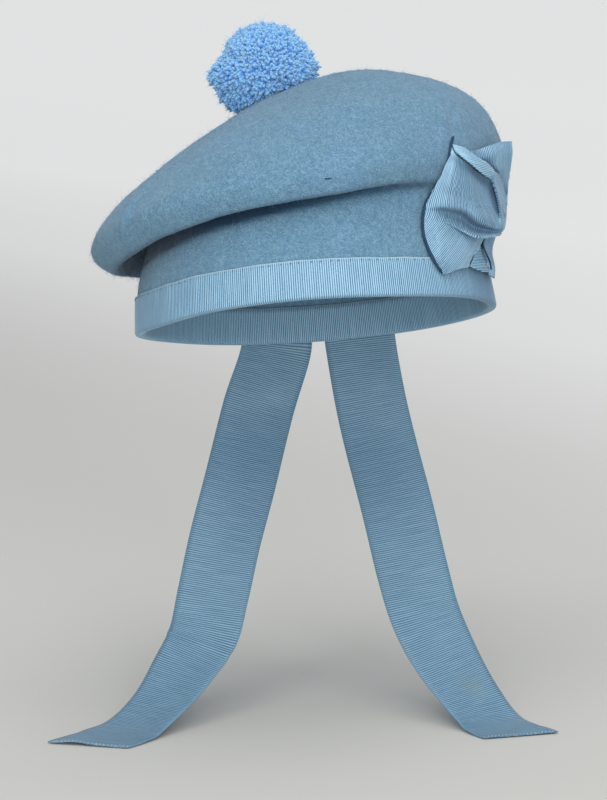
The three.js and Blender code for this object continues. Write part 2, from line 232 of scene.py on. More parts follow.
def travelled(line):
    # the distance along a line of points from its start
    return np.concatenate([[0], np.cumsum(np.linalg.norm(np.diff(line, axis=0), axis=1))])


def readTable(places, stations, table):
    # the columns of a table, read at places between the stations of its rows
    return np.stack([np.interp(places, stations, column) for column in np.transpose(table)], axis=1)


def readGrid(rows, rowStations, columns, columnStations, table):
    # a table read between its rows and between its columns
    return readTable(rows, rowStations, readTable(columns, columnStations, table.T).T)


def awayFrom(grid, path, count):
    # how far each point of a grid lies from a line of points
    line = alongCurve(path, np.linspace(0, 1, count))
    return np.min([np.linalg.norm(grid - spot, axis=-1) for spot in line], axis=0)


def smoothBetween(a, b, c, d, t):
    return 0.5 * (2 * b + (c - a) * t + (2 * a - 5 * b + 4 * c - d) * t ** 2
                  + (3 * b - a - 3 * c + d) * t ** 3)


def sectionAt(bearing):
    # the section table's row at any bearings, smooth from row to row
    count = len(crownSections)
    place = (np.asarray(bearing, dtype=float) % 360) / (360 / count)
    first = np.floor(place).astype(int)
    t = (place - first)[..., None]
    rows = [crownSections[(first + k) % count] for k in (-1, 0, 1, 2)]
    values = smoothBetween(*rows, t)
    return {column: values[..., i] for i, column in enumerate(crownColumns)}


def outwards(bearing):
    angle = np.radians(bearing)
    side = np.sin(angle) / hatShape["rimHalfWidth"]
    front = -np.cos(angle) / hatShape["rimHalfLength"]
    size = np.hypot(side, front)
    return np.stack([side / size, front / size, np.zeros_like(side)], axis=-1)


def rimPoint(bearing, out, up):
    bearing, out, up = np.broadcast_arrays(np.asarray(bearing, dtype=float), out, up)
    angle = np.radians(bearing)
    base = np.stack([np.sin(angle) * hatShape["rimHalfWidth"], -np.cos(angle) * hatShape["rimHalfLength"],
                     np.asarray(up, dtype=float)], axis=-1)
    return base + outwards(bearing) * np.asarray(out, dtype=float)[..., None]


def onHat(table):
    # points from a table whose columns start with bearing, out and up
    table = np.array(table, dtype=float)
    return rimPoint(table[..., 0], table[..., 1], table[..., 2])


def crownControls(bearing):
    s = sectionAt(bearing)
    across = sectionAt(np.asarray(bearing) + 180)
    middle = np.broadcast_to(np.array(hatShape["crownMiddle"], dtype=float),
                             rimPoint(bearing, 0, 0).shape)
    return np.stack([
        rimPoint(bearing, 0, -s["rimDrop"]),
        rimPoint(bearing, hatShape["bandTopOut"],
                 hatShape["bandTopUp"] - s["rimDrop"] * hatShape["bandDropShare"]),
        *(rimPoint(bearing, s[level + "Out"], s[level + "Up"])
          for level in ("crease", "lip", "edge", "shoulder", "slope")),
        middle,
        rimPoint(np.asarray(bearing) + 180, across["slopeOut"], across["slopeUp"]),
    ], axis=-2)


def alongCurve(controls, places):
    # centripetal Catmull-Rom through the controls (..., n, 3), at places from 0 to 1
    first = 2 * controls[..., :1, :] - controls[..., 1:2, :]
    last = 2 * controls[..., -1:, :] - controls[..., -2:-1, :]
    full = np.concatenate([first, controls, last], axis=-2)
    count = controls.shape[-2]
    p = np.clip(np.asarray(places, dtype=float), 0, 1) * (count - 1)
    i = np.minimum(p.astype(int), count - 2)
    w = (p - i)[..., None]
    a, b, c, d = (full[..., i + k, :] for k in range(4))

    def span(u, v):
        return np.maximum(np.sqrt(np.linalg.norm(u - v, axis=-1, keepdims=True)), 1e-6)

    d0, d1, d2 = span(a, b), span(b, c), span(c, d)
    t1 = ((b - a) / d0 - (c - a) / (d0 + d1) + (c - b) / d1) * d1
    t2 = ((c - b) / d1 - (d - b) / (d1 + d2) + (d - c) / d2) * d1
    return b + t1 * w + (-3 * b + 3 * c - 2 * t1 - t2) * w ** 2 + (2 * b - 2 * c + t1 + t2) * w ** 3


def pointOn(controls, places):
    # one point on each of many curves: controls (..., n, 3), places (...)
    count = controls.shape[-2]
    fine = np.linspace(0, 1, (count - 1) * 12 + 1)
    line = alongCurve(controls, fine)
    p = np.clip(places, 0, 1) * (len(fine) - 1)
    i = np.minimum(p.astype(int), len(fine) - 2)
    w = (p - i)[..., None]
    a = np.take_along_axis(line, i[..., None, None], axis=-2)[..., 0, :]
    b = np.take_along_axis(line, i[..., None, None] + 1, axis=-2)[..., 0, :]
    return a * (1 - w) + b * w


def gridNormals(grid, closed=False):
    along = np.gradient(grid, axis=0)
    if closed:
        across = (np.roll(grid, -1, axis=1) - np.roll(grid, 1, axis=1)) / 2
    else:
        across = np.gradient(grid, axis=1)
    return unit(np.cross(across, along))


def quadFaces(rows, columns, start=0, closed=False, flip=False):
    j, i = np.meshgrid(np.arange(rows - 1), np.arange(columns if closed else columns - 1), indexing="ij")
    nextI = (i + 1) % columns
    a = start + j * columns + i
    b = start + j * columns + nextI
    c = start + (j + 1) * columns + nextI
    d = start + (j + 1) * columns + i
    order = (a, d, c, b) if flip else (a, b, c, d)
    return np.stack([part.ravel() for part in order], axis=1).tolist()


def edgeFaces(line, shift):
    # the edge round a wall, from a ring of its first face's points to the same points of its second face
    return [[b, a, a + shift, b + shift] for a, b in zip(line, line[1:] + line[:1])]


def copyFaces(single, count, size):
    # the faces of one strand repeated on many strands, each with its own run of points
    starts = np.arange(count) * size
    return (np.array(single)[None] + starts[:, None, None]).reshape(-1, len(single[0])).tolist()


def makePiece(name, points, faces, material, uv=None, values=None):
    # points in mm, faces as index lists, uv and values one per point
    mesh = bpy.data.meshes.new(name)
    mesh.from_pydata((np.asarray(points) * mm).tolist(), [], faces)
    mesh.update()
    if uv is not None:
        corner = np.empty(len(mesh.loops), dtype=np.int32)
        mesh.loops.foreach_get("vertex_index", corner)
        layer = mesh.uv_layers.new(name="ribbonMap")
        layer.data.foreach_set("uv", np.asarray(uv, dtype=np.float32)[corner].ravel())
    for key, numbers in (values or {}).items():
        attribute = mesh.attributes.new(key, "FLOAT", "POINT")
        attribute.data.foreach_set("value", np.asarray(numbers, dtype=np.float32))
    mesh.polygons.foreach_set("use_smooth", np.ones(len(mesh.polygons), dtype=bool))
    mesh.materials.append(material)
    piece = bpy.data.objects.new(name, mesh)
    bpy.context.scene.collection.objects.link(piece)
    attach(piece, "root")
    return piece


def sheetPiece(name, grid, thickness, material, uv, shade=None):
    # a ribbon of some thickness from a grid of points, closed round its border
    rows, columns = grid.shape[:2]
    normal = gridNormals(grid) * (thickness / 2)
    points = np.concatenate([(grid + normal).reshape(-1, 3), (grid - normal).reshape(-1, 3)])
    shift = rows * columns
    faces = quadFaces(rows, columns) + quadFaces(rows, columns, start=shift, flip=True)
    border = list(range(columns))
    border += [j * columns + columns - 1 for j in range(1, rows)]
    border += [(rows - 1) * columns + i for i in range(columns - 2, -1, -1)]
    border += [j * columns for j in range(rows - 2, 0, -1)]
    faces += edgeFaces(border, shift)
    values = None if shade is None else {"foldShade": np.tile(shade.ravel(), 2)}
    return makePiece(name, points, faces, material, np.tile(uv.reshape(-1, 2), (2, 1)), values)


def noiseAt(points, shift):
    return np.array([noise.noise(Vector(point) + Vector(shift)) for point in points.tolist()])


def unevenness(points, size, seed):
    # smooth noise at each point, for features of about this size
    shift = (seed * 13.1, seed * 7.7, seed * 3.3)
    return noiseAt(points.reshape(-1, 3) / size, shift).reshape(points.shape[:-1])


# Felt

feltLook = {
    "grain": {             # sizes in mm
        "patch": {"size": 28, "detail": 3.0, "rough": 0.55},       # soft patches left by dyeing
        "flock": {"size": 2.4, "detail": 4.0, "rough": 0.62},      # the felted knit's mottle
        # single fibres, drawn coarse so that they show, standing up and lying level
        "upFibre": {"size": 0.38, "detail": 3.0, "rough": 0.7, "stretch": (1.0, 1.0, 0.3)},
        "sideFibre": {"size": 0.38, "detail": 3.0, "rough": 0.7, "stretch": (0.42, 0.42, 1.0)},
    },
    "sidewaysShare": 1.4,  # out of 2, how much of the fibre lies level
    "fibreContrast": 1.6,
    "tint": [(0.36, "#61889d"), (0.5, "#5b8098"), (0.64, "#6187a4")],
    "mottle": [(0.34, "#3c5e78"), (0.5, "#5b8098"), (0.66, "#86a7bc")],
    "mottleShare": 0.5,
    # colour of the painted shade inside the fold under the crown's lip
    "fold": "#082c47",
    "bumpMm": 0.55,
    "bumpStrength": 0.7,
    "shader": {"Roughness": 0.95, "Specular IOR Level": 0.2, "Sheen Weight": 0.25, "Sheen Roughness": 0.5,
               "Sheen Tint": "#d3dfe8"},
}
blotchScale = 160.0        # soft blotches of thread colour and stain, about 6 mm wide


def finishSurface(tree, shader, look, colour, height):
    bump = addNode(tree, "Bump", {"Strength": look["bumpStrength"], "Distance": look["bumpMm"] * mm},
                   {"Height": height})
    tree.links.new(bump.outputs["Normal"], shader.inputs["Normal"])
    tree.links.new(colour, shader.inputs["Base Color"])


def paintFoldShade(tree, colour, fold):
    # painted shade: the colour is mixed towards a dark tone where the foldShade attribute marks a fold or
    # a spot in shade
    shade = addNode(tree, "Attribute", {"attribute_name": "foldShade"})
    shadedColour = addNode(tree, "Mix", {"data_type": "RGBA", 7: fold}, {0: shade.outputs["Fac"], 6: colour})
    return shadedColour.outputs[2]


def feltMaterial(look):
    # knitted wool, milled to a felt and napped: matt, mottled, with a pale bloom at grazing angles
    material, tree, shader = newMaterial("milledWoolFelt", look["shader"])
    coords = addNode(tree, "TexCoord").outputs["Object"]
    grain = {}
    for part, feature in look["grain"].items():
        place = coords
        if "stretch" in feature:
            place = addNode(tree, "Mapping", {"Scale": feature["stretch"]}, {"Vector": coords})
        grain[part] = addNode(tree, "TexNoise",
                              {"Scale": 1 / (feature["size"] * mm), "Detail": feature["detail"],
                               "Roughness": feature["rough"]}, {"Vector": place})
    upPart = addNode(tree, "Math", {"operation": "MULTIPLY", 1: 2 - look["sidewaysShare"]},
                     {0: grain["upFibre"]})
    both = addNode(tree, "Math", {"operation": "MULTIPLY_ADD", 1: look["sidewaysShare"]},
                   {0: grain["sideFibre"], 2: upPart})
    fibre = addNode(tree, "Math", {"operation": "MULTIPLY_ADD", 1: look["fibreContrast"],
                                   2: 0.5 - look["fibreContrast"]}, {0: both})
    mixed = addNode(tree, "Math", {"operation": "ADD"}, {0: grain["flock"], 1: fibre})
    half = addNode(tree, "Math", {"operation": "MULTIPLY", 1: 0.5}, {0: mixed})
    tint = addNode(tree, "ValToRGB", {"stops": look["tint"]}, {"Fac": grain["patch"]})
    mottle = addNode(tree, "ValToRGB", {"stops": look["mottle"]}, {"Fac": half})
    colour = addNode(tree, "Mix", {"data_type": "RGBA", "Factor": look["mottleShare"]},
                     {6: tint, 7: mottle})
    # painted shade darkens the felt inside the fold
    finishSurface(tree, shader, look, paintFoldShade(tree, colour.outputs[2], look["fold"]), half)
    return material


def fibreMaterial(name, look, fold=None):
    # loose wool fibres and sewing thread: matt, a little uneven in tone from end to end, and darkened by
    # painted shade where a fold colour is given
    settings = {"Roughness": look["roughness"], "Specular IOR Level": 0.25}
    material, tree, shader = newMaterial(name, settings)
    coords = addNode(tree, "TexCoord").outputs["Object"]
    vary = addNode(tree, "TexNoise", {"Scale": blotchScale}, {"Vector": coords})
    tone = addNode(tree, "ValToRGB", {"stops": list(zip((0.3, 0.7), look["colour"]))}, {"Fac": vary})
    colour = paintFoldShade(tree, tone.outputs["Color"], fold) if fold else tone.outputs["Color"]
    tree.links.new(colour, shader.inputs["Base Color"])
    return material


felt = feltMaterial(feltLook)


# Crown

crownMesh = {
    "around": 240,
    "up": 126,
    "swellMm": 0.9,        # soft unevenness of the felt
    "swellSize": 34,
    "dimpleMm": 0.22,
    "dimpleSize": 7,
    "bandTop": 24,         # mm, the felt is uneven from here up
    "bandFade": 8,
    "tipFade": 12,
}
crownSpans = 8             # from the rim to the middle of the crown, and one span past it
curveEnd = 7 / crownSpans

# Soft furrows and ridges of the crown: a path of (bearing, out, up) points on the hat, how far each
# reaches to its sides, and its depth in mm (negative is a ridge).
crownDents = [
    {"path": [(310, 7.2, 59.4), (308, 12.9, 52.1), (307, 15.6, 46.1), (304.2, 13.8, 40.2)], "wide": 2.8,
     "depth": 1.1},
    {"path": [(305, -3, 68.5), (305.2, 6.1, 60.4), (303.8, 13.3, 52.5), (303.5, 16.2, 45.3)], "wide": 2.4,
     "depth": -0.9},
    {"path": [(336, 6, 66), (322, 8, 64), (308, 8, 66)], "wide": 9, "depth": 0.7},
    {"path": [(350, -6, 82), (18, -4, 80), (36, -2, 84)], "wide": 10, "depth": 0.8},
    {"path": [(54, 0.6, 90), (52.6, 2.6, 85), (50.6, 4.4, 78)], "wide": 2.6, "depth": 0.9},
    {"path": [(51, 0.6, 90), (49.4, 2.6, 85), (47.4, 4.4, 78)], "wide": 2.4, "depth": -0.7},
]

# Painted shade inside the fold below the crown's lip: how far below the lip it starts and over how many
# mm it fades, where it ends up the section, and how dark it is, the most at one bearing.
crownFoldShade = {
    "reveal": 1.4,
    "fade": 2.0,
    "lastStation": 3.25,
    "stationFade": 0.45,
    "least": 0.44,
    "more": 0.54,
    "bearing": 322,
}


def shapeCrown(settings):
    # rows go up the crown, columns go round it
    bearings = np.arange(settings["around"]) * 360 / settings["around"]
    shares = np.linspace(0, curveEnd, settings["up"] + 1)
    grid = np.swapaxes(alongCurve(crownControls(bearings), shares), 0, 1)
    normal = gridNormals(grid, closed=True)
    move = unevenness(grid, settings["swellSize"], 1) * settings["swellMm"]
    move += unevenness(grid, settings["dimpleSize"], 2) * settings["dimpleMm"]
    for dent in crownDents:
        move -= dent["depth"] * bell(awayFrom(grid, onHat(dent["path"]), 30), dent["wide"])
    fade = np.clip((grid[..., 2] - settings["bandTop"]) / settings["bandFade"], 0, 1)
    move = move * fade * np.clip((curveEnd - shares)[:, None] * settings["tipFade"], 0.0, 1)
    return grid + normal * move[..., None], normal


def foldShade(fold, grid):
    # how deep in the shade of the fold each point of the section lies
    bearings = np.arange(grid.shape[1]) * 360 / grid.shape[1]
    station = np.linspace(0, curveEnd, len(grid))[:, None] * crownSpans
    below = sectionAt(bearings)["lipUp"] - fold["reveal"] - grid[..., 2]
    shade = bell(np.maximum(below, 0), fold["fade"])
    shade = shade * np.clip((fold["lastStation"] - station) / fold["stationFade"], 0, 1)
    return shade * (fold["least"] + fold["more"] * np.cos(np.radians(bearings - fold["bearing"])))


def buildCrown():
    grid, normal = shapeCrown(crownMesh)
    outer = grid[:-1]
    inner = outer - normal[:-1] * hatShape["feltThickness"]
    inner[0, :, 2] = outer[0, :, 2]
    rows, columns = outer.shape[:2]
    top = grid[-1].mean(axis=0)
    topInside = top - normal[-2].mean(axis=0) * hatShape["feltThickness"]
    points = np.concatenate([outer.reshape(-1, 3), [top], inner.reshape(-1, 3), [topInside]])
    shift = rows * columns + 1
    faces = quadFaces(rows, columns, closed=True)
    faces += quadFaces(rows, columns, start=shift, closed=True, flip=True)
    last = (rows - 1) * columns
    for i in range(columns):
        k = (i + 1) % columns
        faces.append([last + i, last + k, rows * columns])
        faces.append([shift + last + k, shift + last + i, shift + rows * columns])
        faces.append([i, i + shift, k + shift, k])
    # painted shade inside the fold, carried to the felt's material by the foldShade attribute
    shade = np.append(foldShade(crownFoldShade, grid)[:-1].ravel(), 0)
    piece = makePiece("crownFelt", asWorn(points), faces, felt, values={"foldShade": np.tile(shade, 2)})
    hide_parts("felt_crown")
    return grid, normal


crownGrid, crownNormal = buildCrown()
print("crown is built")


# Loose fibres

napLook = {
    "count": 17000,
    "lengthMm": (1.0, 3.4),
    "longShare": 0.012,
    "longTimes": 2.2,
    "radiusMm": 0.06,      # coarser than a real fibre, so that it shows
    "leastLift": 0.04,
    "lift": 0.3,
    "curl": 0.25,
    "curlOut": 0.02,
    "lowest": 21,          # mm up, just above the binding
    "lipTimes": 1.7,       # closer along the lip of the fold
    "lipStation": 3.1,
    "lipReach": 0.35,
    # painted shade: fibres in the fold take this many times the cloth's painted shade
    "foldShadeTimes": 1.6,      # darker than the cloth in the fold
    "seed": 11,
    "colour": ("#6d96b1", "#a3c2d5"),
    "roughness": 0.85,
}

# painted shade: a dark tube standing for the shaded slit of a nick in the crown's lip
nickShade = {
    "path": [(8.2, 7.6, 52.6), (6.6, 8.3, 52.1), (5, 8, 52.2), (3.2, 8.3, 51.8)],
    "radius": 0.42,
    "colour": ("#12283a", "#234058"),
    "roughness": 0.85,
}

fibreSides = 3
fibreTaper = 0.75          # how much thinner a fibre is at its tip


def fibreMesh(name, roots, ways, lengths, radius, curls, material, steps=2, shade=None):
    # thin tapered fibres, each bent along its length
    sideways = unit(np.cross(ways, curls))
    upways = np.cross(sideways, ways)
    points = []
    for s in range(steps + 1):
        t = s / steps
        centre = roots + ways * (lengths * t)[:, None] + curls * (lengths * t * t)[:, None]
        wide = radius * (1 - fibreTaper * t)
        for k in range(fibreSides):
            angle = 2 * math.pi * k / fibreSides
            points.append(centre + (sideways * math.cos(angle) + upways * math.sin(angle)) * wide)
    table = np.stack(points, axis=1)                # fibre, point, xyz
    count, size = table.shape[:2]
    tip = [steps * fibreSides + k for k in range(fibreSides)]
    faces = copyFaces(quadFaces(steps + 1, fibreSides, closed=True), count, size)
    faces += copyFaces([tip], count, size) + copyFaces([list(range(fibreSides))[::-1]], count, size)
    values = None if shade is None else {"foldShade": np.repeat(shade, size)}
    return makePiece(name, table.reshape(-1, 3), faces, material, values=values)


def tubeMesh(name, line, radius, material, sides=8, taperOver=6, endSize=0.3):
    # a round thread along a line of points, thinner towards its ends
    way = unit(np.gradient(line, axis=0))
    side = unit(np.cross(way, [0.3, 1.0, 0.2]))
    other = np.cross(side, way)
    angles = np.arange(sides) * 2 * math.pi / sides
    ring = side[:, None] * np.cos(angles)[None, :, None] + other[:, None] * np.sin(angles)[None, :, None]
    fromEnd = np.minimum(np.arange(len(line)), np.arange(len(line))[::-1])
    size = radius * np.minimum(1, fromEnd / taperOver + endSize)
    points = line[:, None] + ring * size[:, None, None]
    faces = quadFaces(len(line), sides, closed=True)
    faces.append(list(range(sides))[::-1])
    faces.append([(len(line) - 1) * sides + k for k in range(sides)])
    return makePiece(name, points.reshape(-1, 3), faces, material)


def buildNap(look, grid, normal):
    random = np.random.default_rng(look["seed"])
    rows, columns = grid.shape[:2]
    step = np.linalg.norm(np.diff(grid, axis=0), axis=-1).clip(1e-6)
    ring = np.linalg.norm(np.roll(grid, -1, axis=1) - grid, axis=-1)[:-1]
    station = np.linspace(0, curveEnd, rows)[:-1, None] * crownSpans
    lip = bell(station - look["lipStation"], look["lipReach"])
    area = (step * ring * (1 + (look["lipTimes"] - 1) * lip)).ravel()
    pick = random.choice(area.size, look["count"], p=area / area.sum())
    j, i = np.divmod(pick, columns)
    keep = grid[j, i, 2] > look["lowest"]
    j, i = j[keep], i[keep]
    u = random.random((len(j), 2))
    roots = grid[j, i] + (grid[np.minimum(j + 1, rows - 1), i] - grid[j, i]) * u[:, :1]
    roots = roots + (grid[j, (i + 1) % columns] - grid[j, i]) * u[:, 1:]
    out = normal[j, i]
    side = random.normal(size=(len(j), 3))
    side = unit(side - out * (side * out).sum(axis=1, keepdims=True))
    lift = np.abs(random.normal(0, look["lift"], len(j)))[:, None] + look["leastLift"]
    ways = unit(side + out * lift)
    curls = random.normal(0, look["curl"], (len(j), 3)) + out * look["curlOut"]
    lengths = random.uniform(*look["lengthMm"], len(j))
    lengths *= np.where(random.random(len(j)) < look["longShare"], look["longTimes"], 1)
    # painted shade on the fibres that grow in the fold
    shade = np.clip(foldShade(crownFoldShade, grid)[j, i] * look["foldShadeTimes"], 0, 1)
    wool = fibreMaterial("looseWoolNap", look, feltLook["fold"])
    piece = fibreMesh("feltNap", asWorn(roots), asWorn(ways), lengths, look["radiusMm"], asWorn(curls),
                      wool, 1, shade)


def buildNickShade(look):
    # a nick in the lip of the crown: painted shade, a dark tube along its shaded slit
    line = alongCurve(asWorn(onHat(look["path"])), np.linspace(0, 1, 24))
    piece = tubeMesh("feltNickShade", line, look["radius"], fibreMaterial("nickShadeTone", look))


buildNap(napLook, crownGrid, crownNormal)
buildNickShade(nickShade)
print("nap is laid")


# Grosgrain ribbon

ribbonLook = {
    "width": 38,
    "pitch": 1.12,         # mm from rib to rib
    "ribHeight": 0.15,
    "thickness": 0.7,
    # rib colours: painted shade in the grooves and a painted highlight on the crests, over the ribs' own
    # relief
    "groove": "#3d6986",
    "body": "#6c93ae",
    "crest": "#9dc0d6",
    "selvage": "#a9c4d4",
    "selvageMm": 0.9,
    "selvageMost": 0.8,
    # colour of the painted shade in the ribbon's creases and shaded spots
    "fold": "#2f5577",
    # uneven dye along each rib, then single threads: noise stretch, the part of it used, strength
    "weave": [{"scale": (60.0, 1400.0, 1.0), "part": (0.25, 0.75), "most": 0.22},
              {"scale": (2600.0, 500.0, 1.0), "part": (0.3, 0.7), "most": 0.12}],
    "stain": {"place": (0.081, 0.030, -0.196), "core": 0.0033, "reach": 0.011, "most": 0.65,
              "colour": "#6d8484"},
    "bumpMm": 0.12,
    "bumpStrength": 0.4,
    "shader": {"Roughness": 0.55, "Specular IOR Level": 0.35, "Sheen Weight": 0.2, "Sheen Roughness": 0.4,
               "Sheen Tint": "#dfe8ee"},
}
# colour sets for the cockade and its folded-in parts; their groove and crest tones carry painted shade
# and highlight like the binding's
cockadeColours = {"groove": "#2a506e", "body": "#597e99", "crest": "#95bad1", "selvage": "#82a5bc"}
crispColours = {"groove": "#224a6e", "body": "#537d9c", "crest": "#98bed4", "selvage": "#7a9fb6"}
# painted shade: the tails get a darker copy of the ribbon's colours, as they lie low and get less light
tailShadeColours = {"groove": "#3f647f", "body": "#5f849c", "crest": "#83a3b7", "selvage": "#698ba2"}
# dark sewing thread, also drawn beside the cockade's inner fold, where that dark line is partly painted
# shadow
sewingThreadAndShadow = {"colour": ("#15304a", "#22425c"), "roughness": 0.7}


def ribbonMaterial(name, look):
    # woven grosgrain: close round ribs across the ribbon, painted darker in their grooves and lighter on
    # their crests as painted shade and painted highlight, with a soft sheen, a paler selvage
    material, tree, shader = newMaterial(name, look["shader"])
    uv = addNode(tree, "UVMap", {"uv_map": "ribbonMap"})
    coords = addNode(tree, "TexCoord").outputs["Object"]
    bands = 2 * math.pi / (20 * look["pitch"] * mm)     # at scale 1 a wave is 2 pi / 20 long
    height = addNode(tree, "TexWave", {"wave_type": "BANDS", "bands_direction": "Y", "Scale": bands,
                                       "Distortion": 0.0}, {"Vector": uv}).outputs["Fac"]
    for weave in look["weave"]:
        place = addNode(tree, "Mapping", {"Scale": weave["scale"]}, {"Vector": uv})
        spots = addNode(tree, "TexNoise", {"Scale": 1.0, "Detail": 2.0}, {"Vector": place})
        vary = addNode(tree, "MapRange", {"From Min": weave["part"][0], "From Max": weave["part"][1],
                                          "To Min": -weave["most"], "To Max": weave["most"]},
                       {"Value": spots})
        height = addNode(tree, "Math", {"operation": "ADD"}, {0: height, 1: vary})
    # painted shade in the grooves and a painted highlight on the crests
    stops = [(0.05, look["groove"]), (0.5, look["body"]), (0.95, look["crest"])]
    ribs = addNode(tree, "ValToRGB", {"stops": stops}, {"Fac": height})
    parts = addNode(tree, "SeparateXYZ", links={"Vector": uv})
    side = addNode(tree, "Math", {"operation": "SUBTRACT", 1: look["width"] * mm / 2},
                   {0: parts.outputs["X"]})
    out = addNode(tree, "Math", {"operation": "ABSOLUTE"}, {0: side})
    edge = addNode(tree, "MapRange", {"From Min": (look["width"] / 2 - look["selvageMm"]) * mm,
                                      "From Max": look["width"] / 2 * mm, "To Max": look["selvageMost"]},
                   {"Value": out})
    woven = addNode(tree, "Mix", {"data_type": "RGBA", 7: look["selvage"]}, {0: edge, 6: ribs})
    # painted shade in the ribbon's creases and where it lies in shade, from the foldShade attribute
    shadedColour = paintFoldShade(tree, woven.outputs[2], look["fold"])
    stain = look["stain"]
    near = addNode(tree, "VectorMath", {"operation": "DISTANCE", 1: stain["place"]}, {0: coords})
    spread = addNode(tree, "MapRange", {"From Min": stain["core"], "From Max": stain["reach"],
                                        "To Min": stain["most"], "To Max": 0.0},
                     {"Value": near.outputs["Value"]})
    blot = addNode(tree, "TexNoise", {"Scale": blotchScale, "Detail": 3.0}, {"Vector": coords})
    amount = addNode(tree, "Math", {"operation": "MULTIPLY"}, {0: spread, 1: blot})
    soiled = addNode(tree, "Mix", {"data_type": "RGBA", 7: stain["colour"]}, {0: amount, 6: shadedColour})
    finishSurface(tree, shader, look, soiled.outputs[2], height)
    return material


grosgrain = ribbonMaterial("wovenGrosgrain", ribbonLook)
cockadeGrosgrain = ribbonMaterial("creasedGrosgrain", dict(ribbonLook, **cockadeColours))
crispGrosgrain = ribbonMaterial("crispGrosgrain", dict(ribbonLook, **crispColours))
shadedTailGrosgrain = ribbonMaterial("shadedTailRibbon", dict(ribbonLook, **tailShadeColours))
darkThreadAndShadow = fibreMaterial("darkSewingThreadAndShadow", sewingThreadAndShadow)


def ribLift(lengthAlong):
    return -np.cos(2 * math.pi * lengthAlong / ribbonLook["pitch"]) * ribbonLook["ribHeight"] / 2


# Binding round the rim

bindingShape = {
    "leafUp": 17.5,
    "turnDown": 1.2,       # mm the fold lies below the felt's rim
    "turnCorner": 0.35,
    "ribSteps": 3,
    "waveMm": 0.35,        # along the sewn edge
    "waves": 7,
    "swellMm": 0.35,       # of the whole outer leaf
    "swells": 4,
    "stitches": {"every": 5, "reach": 1.3, "over": 0.25, "radius": 0.24, "proud": 0.7, "uneven": 0.2,
                 "slant": 0.25, "seed": 21},
    # painted shade: the ribbon is darkened at the right end and below the cockade, where it lies in shade
    "shadedBearings": [{"bearing": 298, "wide": 14, "shade": 0.16},
                   {"bearing": 72, "wide": 18, "shade": 0.5}],
    # low upright folds where the ribbon is eased round the front corners, in degrees and mm
    "softFolds": [
        {"bearing": 322, "wide": 1.6, "depth": 0.5},
        {"bearing": 309, "wide": 1.3, "depth": 0.6},
        {"bearing": 301, "wide": 1.2, "depth": 0.4},
        {"bearing": 40, "wide": 1.6, "depth": 0.3},
    ],
}


def wallPoint(bearing, up, out):
    # the felt's outer face at a height above its rim, moved straight out; up and out have a row a level
    controls = crownControls(bearing)
    start = controls[:, 0]
    rise = pointOn(controls, np.full(len(controls), 1 / crownSpans)) - start
    share = up / rise[:, 2]
    rows = [pointOn(controls, np.clip(row, 0, 4) / crownSpans) for row in share]
    below = start + rise * share[..., None]
    point = np.where(share[..., None] < 0, below, np.stack(rows))
    return point + outwards(np.broadcast_to(bearing, up.shape)) * out[..., None]


def bindingFace(shape):
    # the ribbon's face as (out, up), from the outer leaf's edge round the rim to the inner leaf's edge
    outside = hatShape["gap"] + ribbonLook["thickness"]
    inside = -hatShape["feltThickness"] - outside
    turn = shape["turnDown"]
    face = [(outside, shape["leafUp"] * (1 - k / 6)) for k in range(7)]
    corner = shape["turnCorner"]
    face += [(outside - corner, -turn * 0.75), (-0.5, -turn - 0.1), (-1.4, -turn - 0.2),
             (-2.4, -turn - 0.1), (inside + corner, -turn * 0.75)]
    face += [(inside, shape["leafUp"] * k / 6) for k in range(7)]
    return np.array(face)


def buildBinding(shape):
    thick = ribbonLook["thickness"]
    face = bindingFace(shape)
    length = travelled(face)
    way = unit(np.gradient(face, axis=0))
    faceOut = np.stack([-way[:, 1], way[:, 0]], axis=1)
    girth = 2 * math.pi * math.sqrt((hatShape["rimHalfWidth"] ** 2 + hatShape["rimHalfLength"] ** 2) / 2)
    ribs = round(girth / ribbonLook["pitch"])
    rows, columns = len(face), ribs * shape["ribSteps"]
    bearings = np.arange(columns) * 360 / columns
    along = np.arange(columns) * ribs * ribbonLook["pitch"] / columns
    lift = ribLift(along)
    angle = np.radians(bearings)
    ring = np.stack([np.cos(angle), np.sin(angle), np.zeros(columns)], axis=1)
    edgeWave = noiseAt(ring * shape["waves"], (0, 0, 4.2)) * shape["waveMm"]
    swell = np.maximum(noiseAt(ring * shape["swells"], (0, 0, 9.7)), 0) * shape["swellMm"]
    for fold in shape["softFolds"]:
        swell += fold["depth"] * bell(bearingAway(bearings, fold["bearing"]), fold["wide"])
    level = face[:, 1] / shape["leafUp"]
    outerLeaf = np.clip(level, 0, 1) * (face[:, 0] > 0)
    tops = np.clip(level * 3 - 2, 0, 1)
    grids = []
    for side in (0, 1):
        moved = (face - faceOut * thick * side)[:, :, None] + faceOut[:, :, None] * lift * (1 - side)
        out = moved[:, 0] + outerLeaf[:, None] * swell
        up = moved[:, 1] + tops[:, None] * edgeWave
        grids.append(wallPoint(bearings, up, out))
    shift = rows * columns
    faces = quadFaces(rows, columns, closed=True, flip=True)
    faces += quadFaces(rows, columns, start=shift, closed=True)
    faces += edgeFaces(list(range(columns))[::-1], shift)
    faces += edgeFaces(list(range((rows - 1) * columns, rows * columns)), shift)
    u = np.repeat(length * ribbonLook["width"] / length[-1], columns) * mm
    uv = np.stack([u, np.tile(along, rows) * mm], axis=1)
    # painted shade along the binding where it lies in shade
    shade = np.zeros(columns)
    for shadedSpot in shape["shadedBearings"]:
        away = bearingAway(bearings, shadedSpot["bearing"])
        shade = np.maximum(shade, shadedSpot["shade"] * bell(away, shadedSpot["wide"]))
    points = asWorn(np.concatenate(grids).reshape(-1, 3))
    piece = makePiece("rimRibbon", points, faces, grosgrain, np.tile(uv, (2, 1)),
                      {"foldShade": np.tile(shade, rows * 2)})
    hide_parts("rim_binding")
    buildStitches(shape, girth)


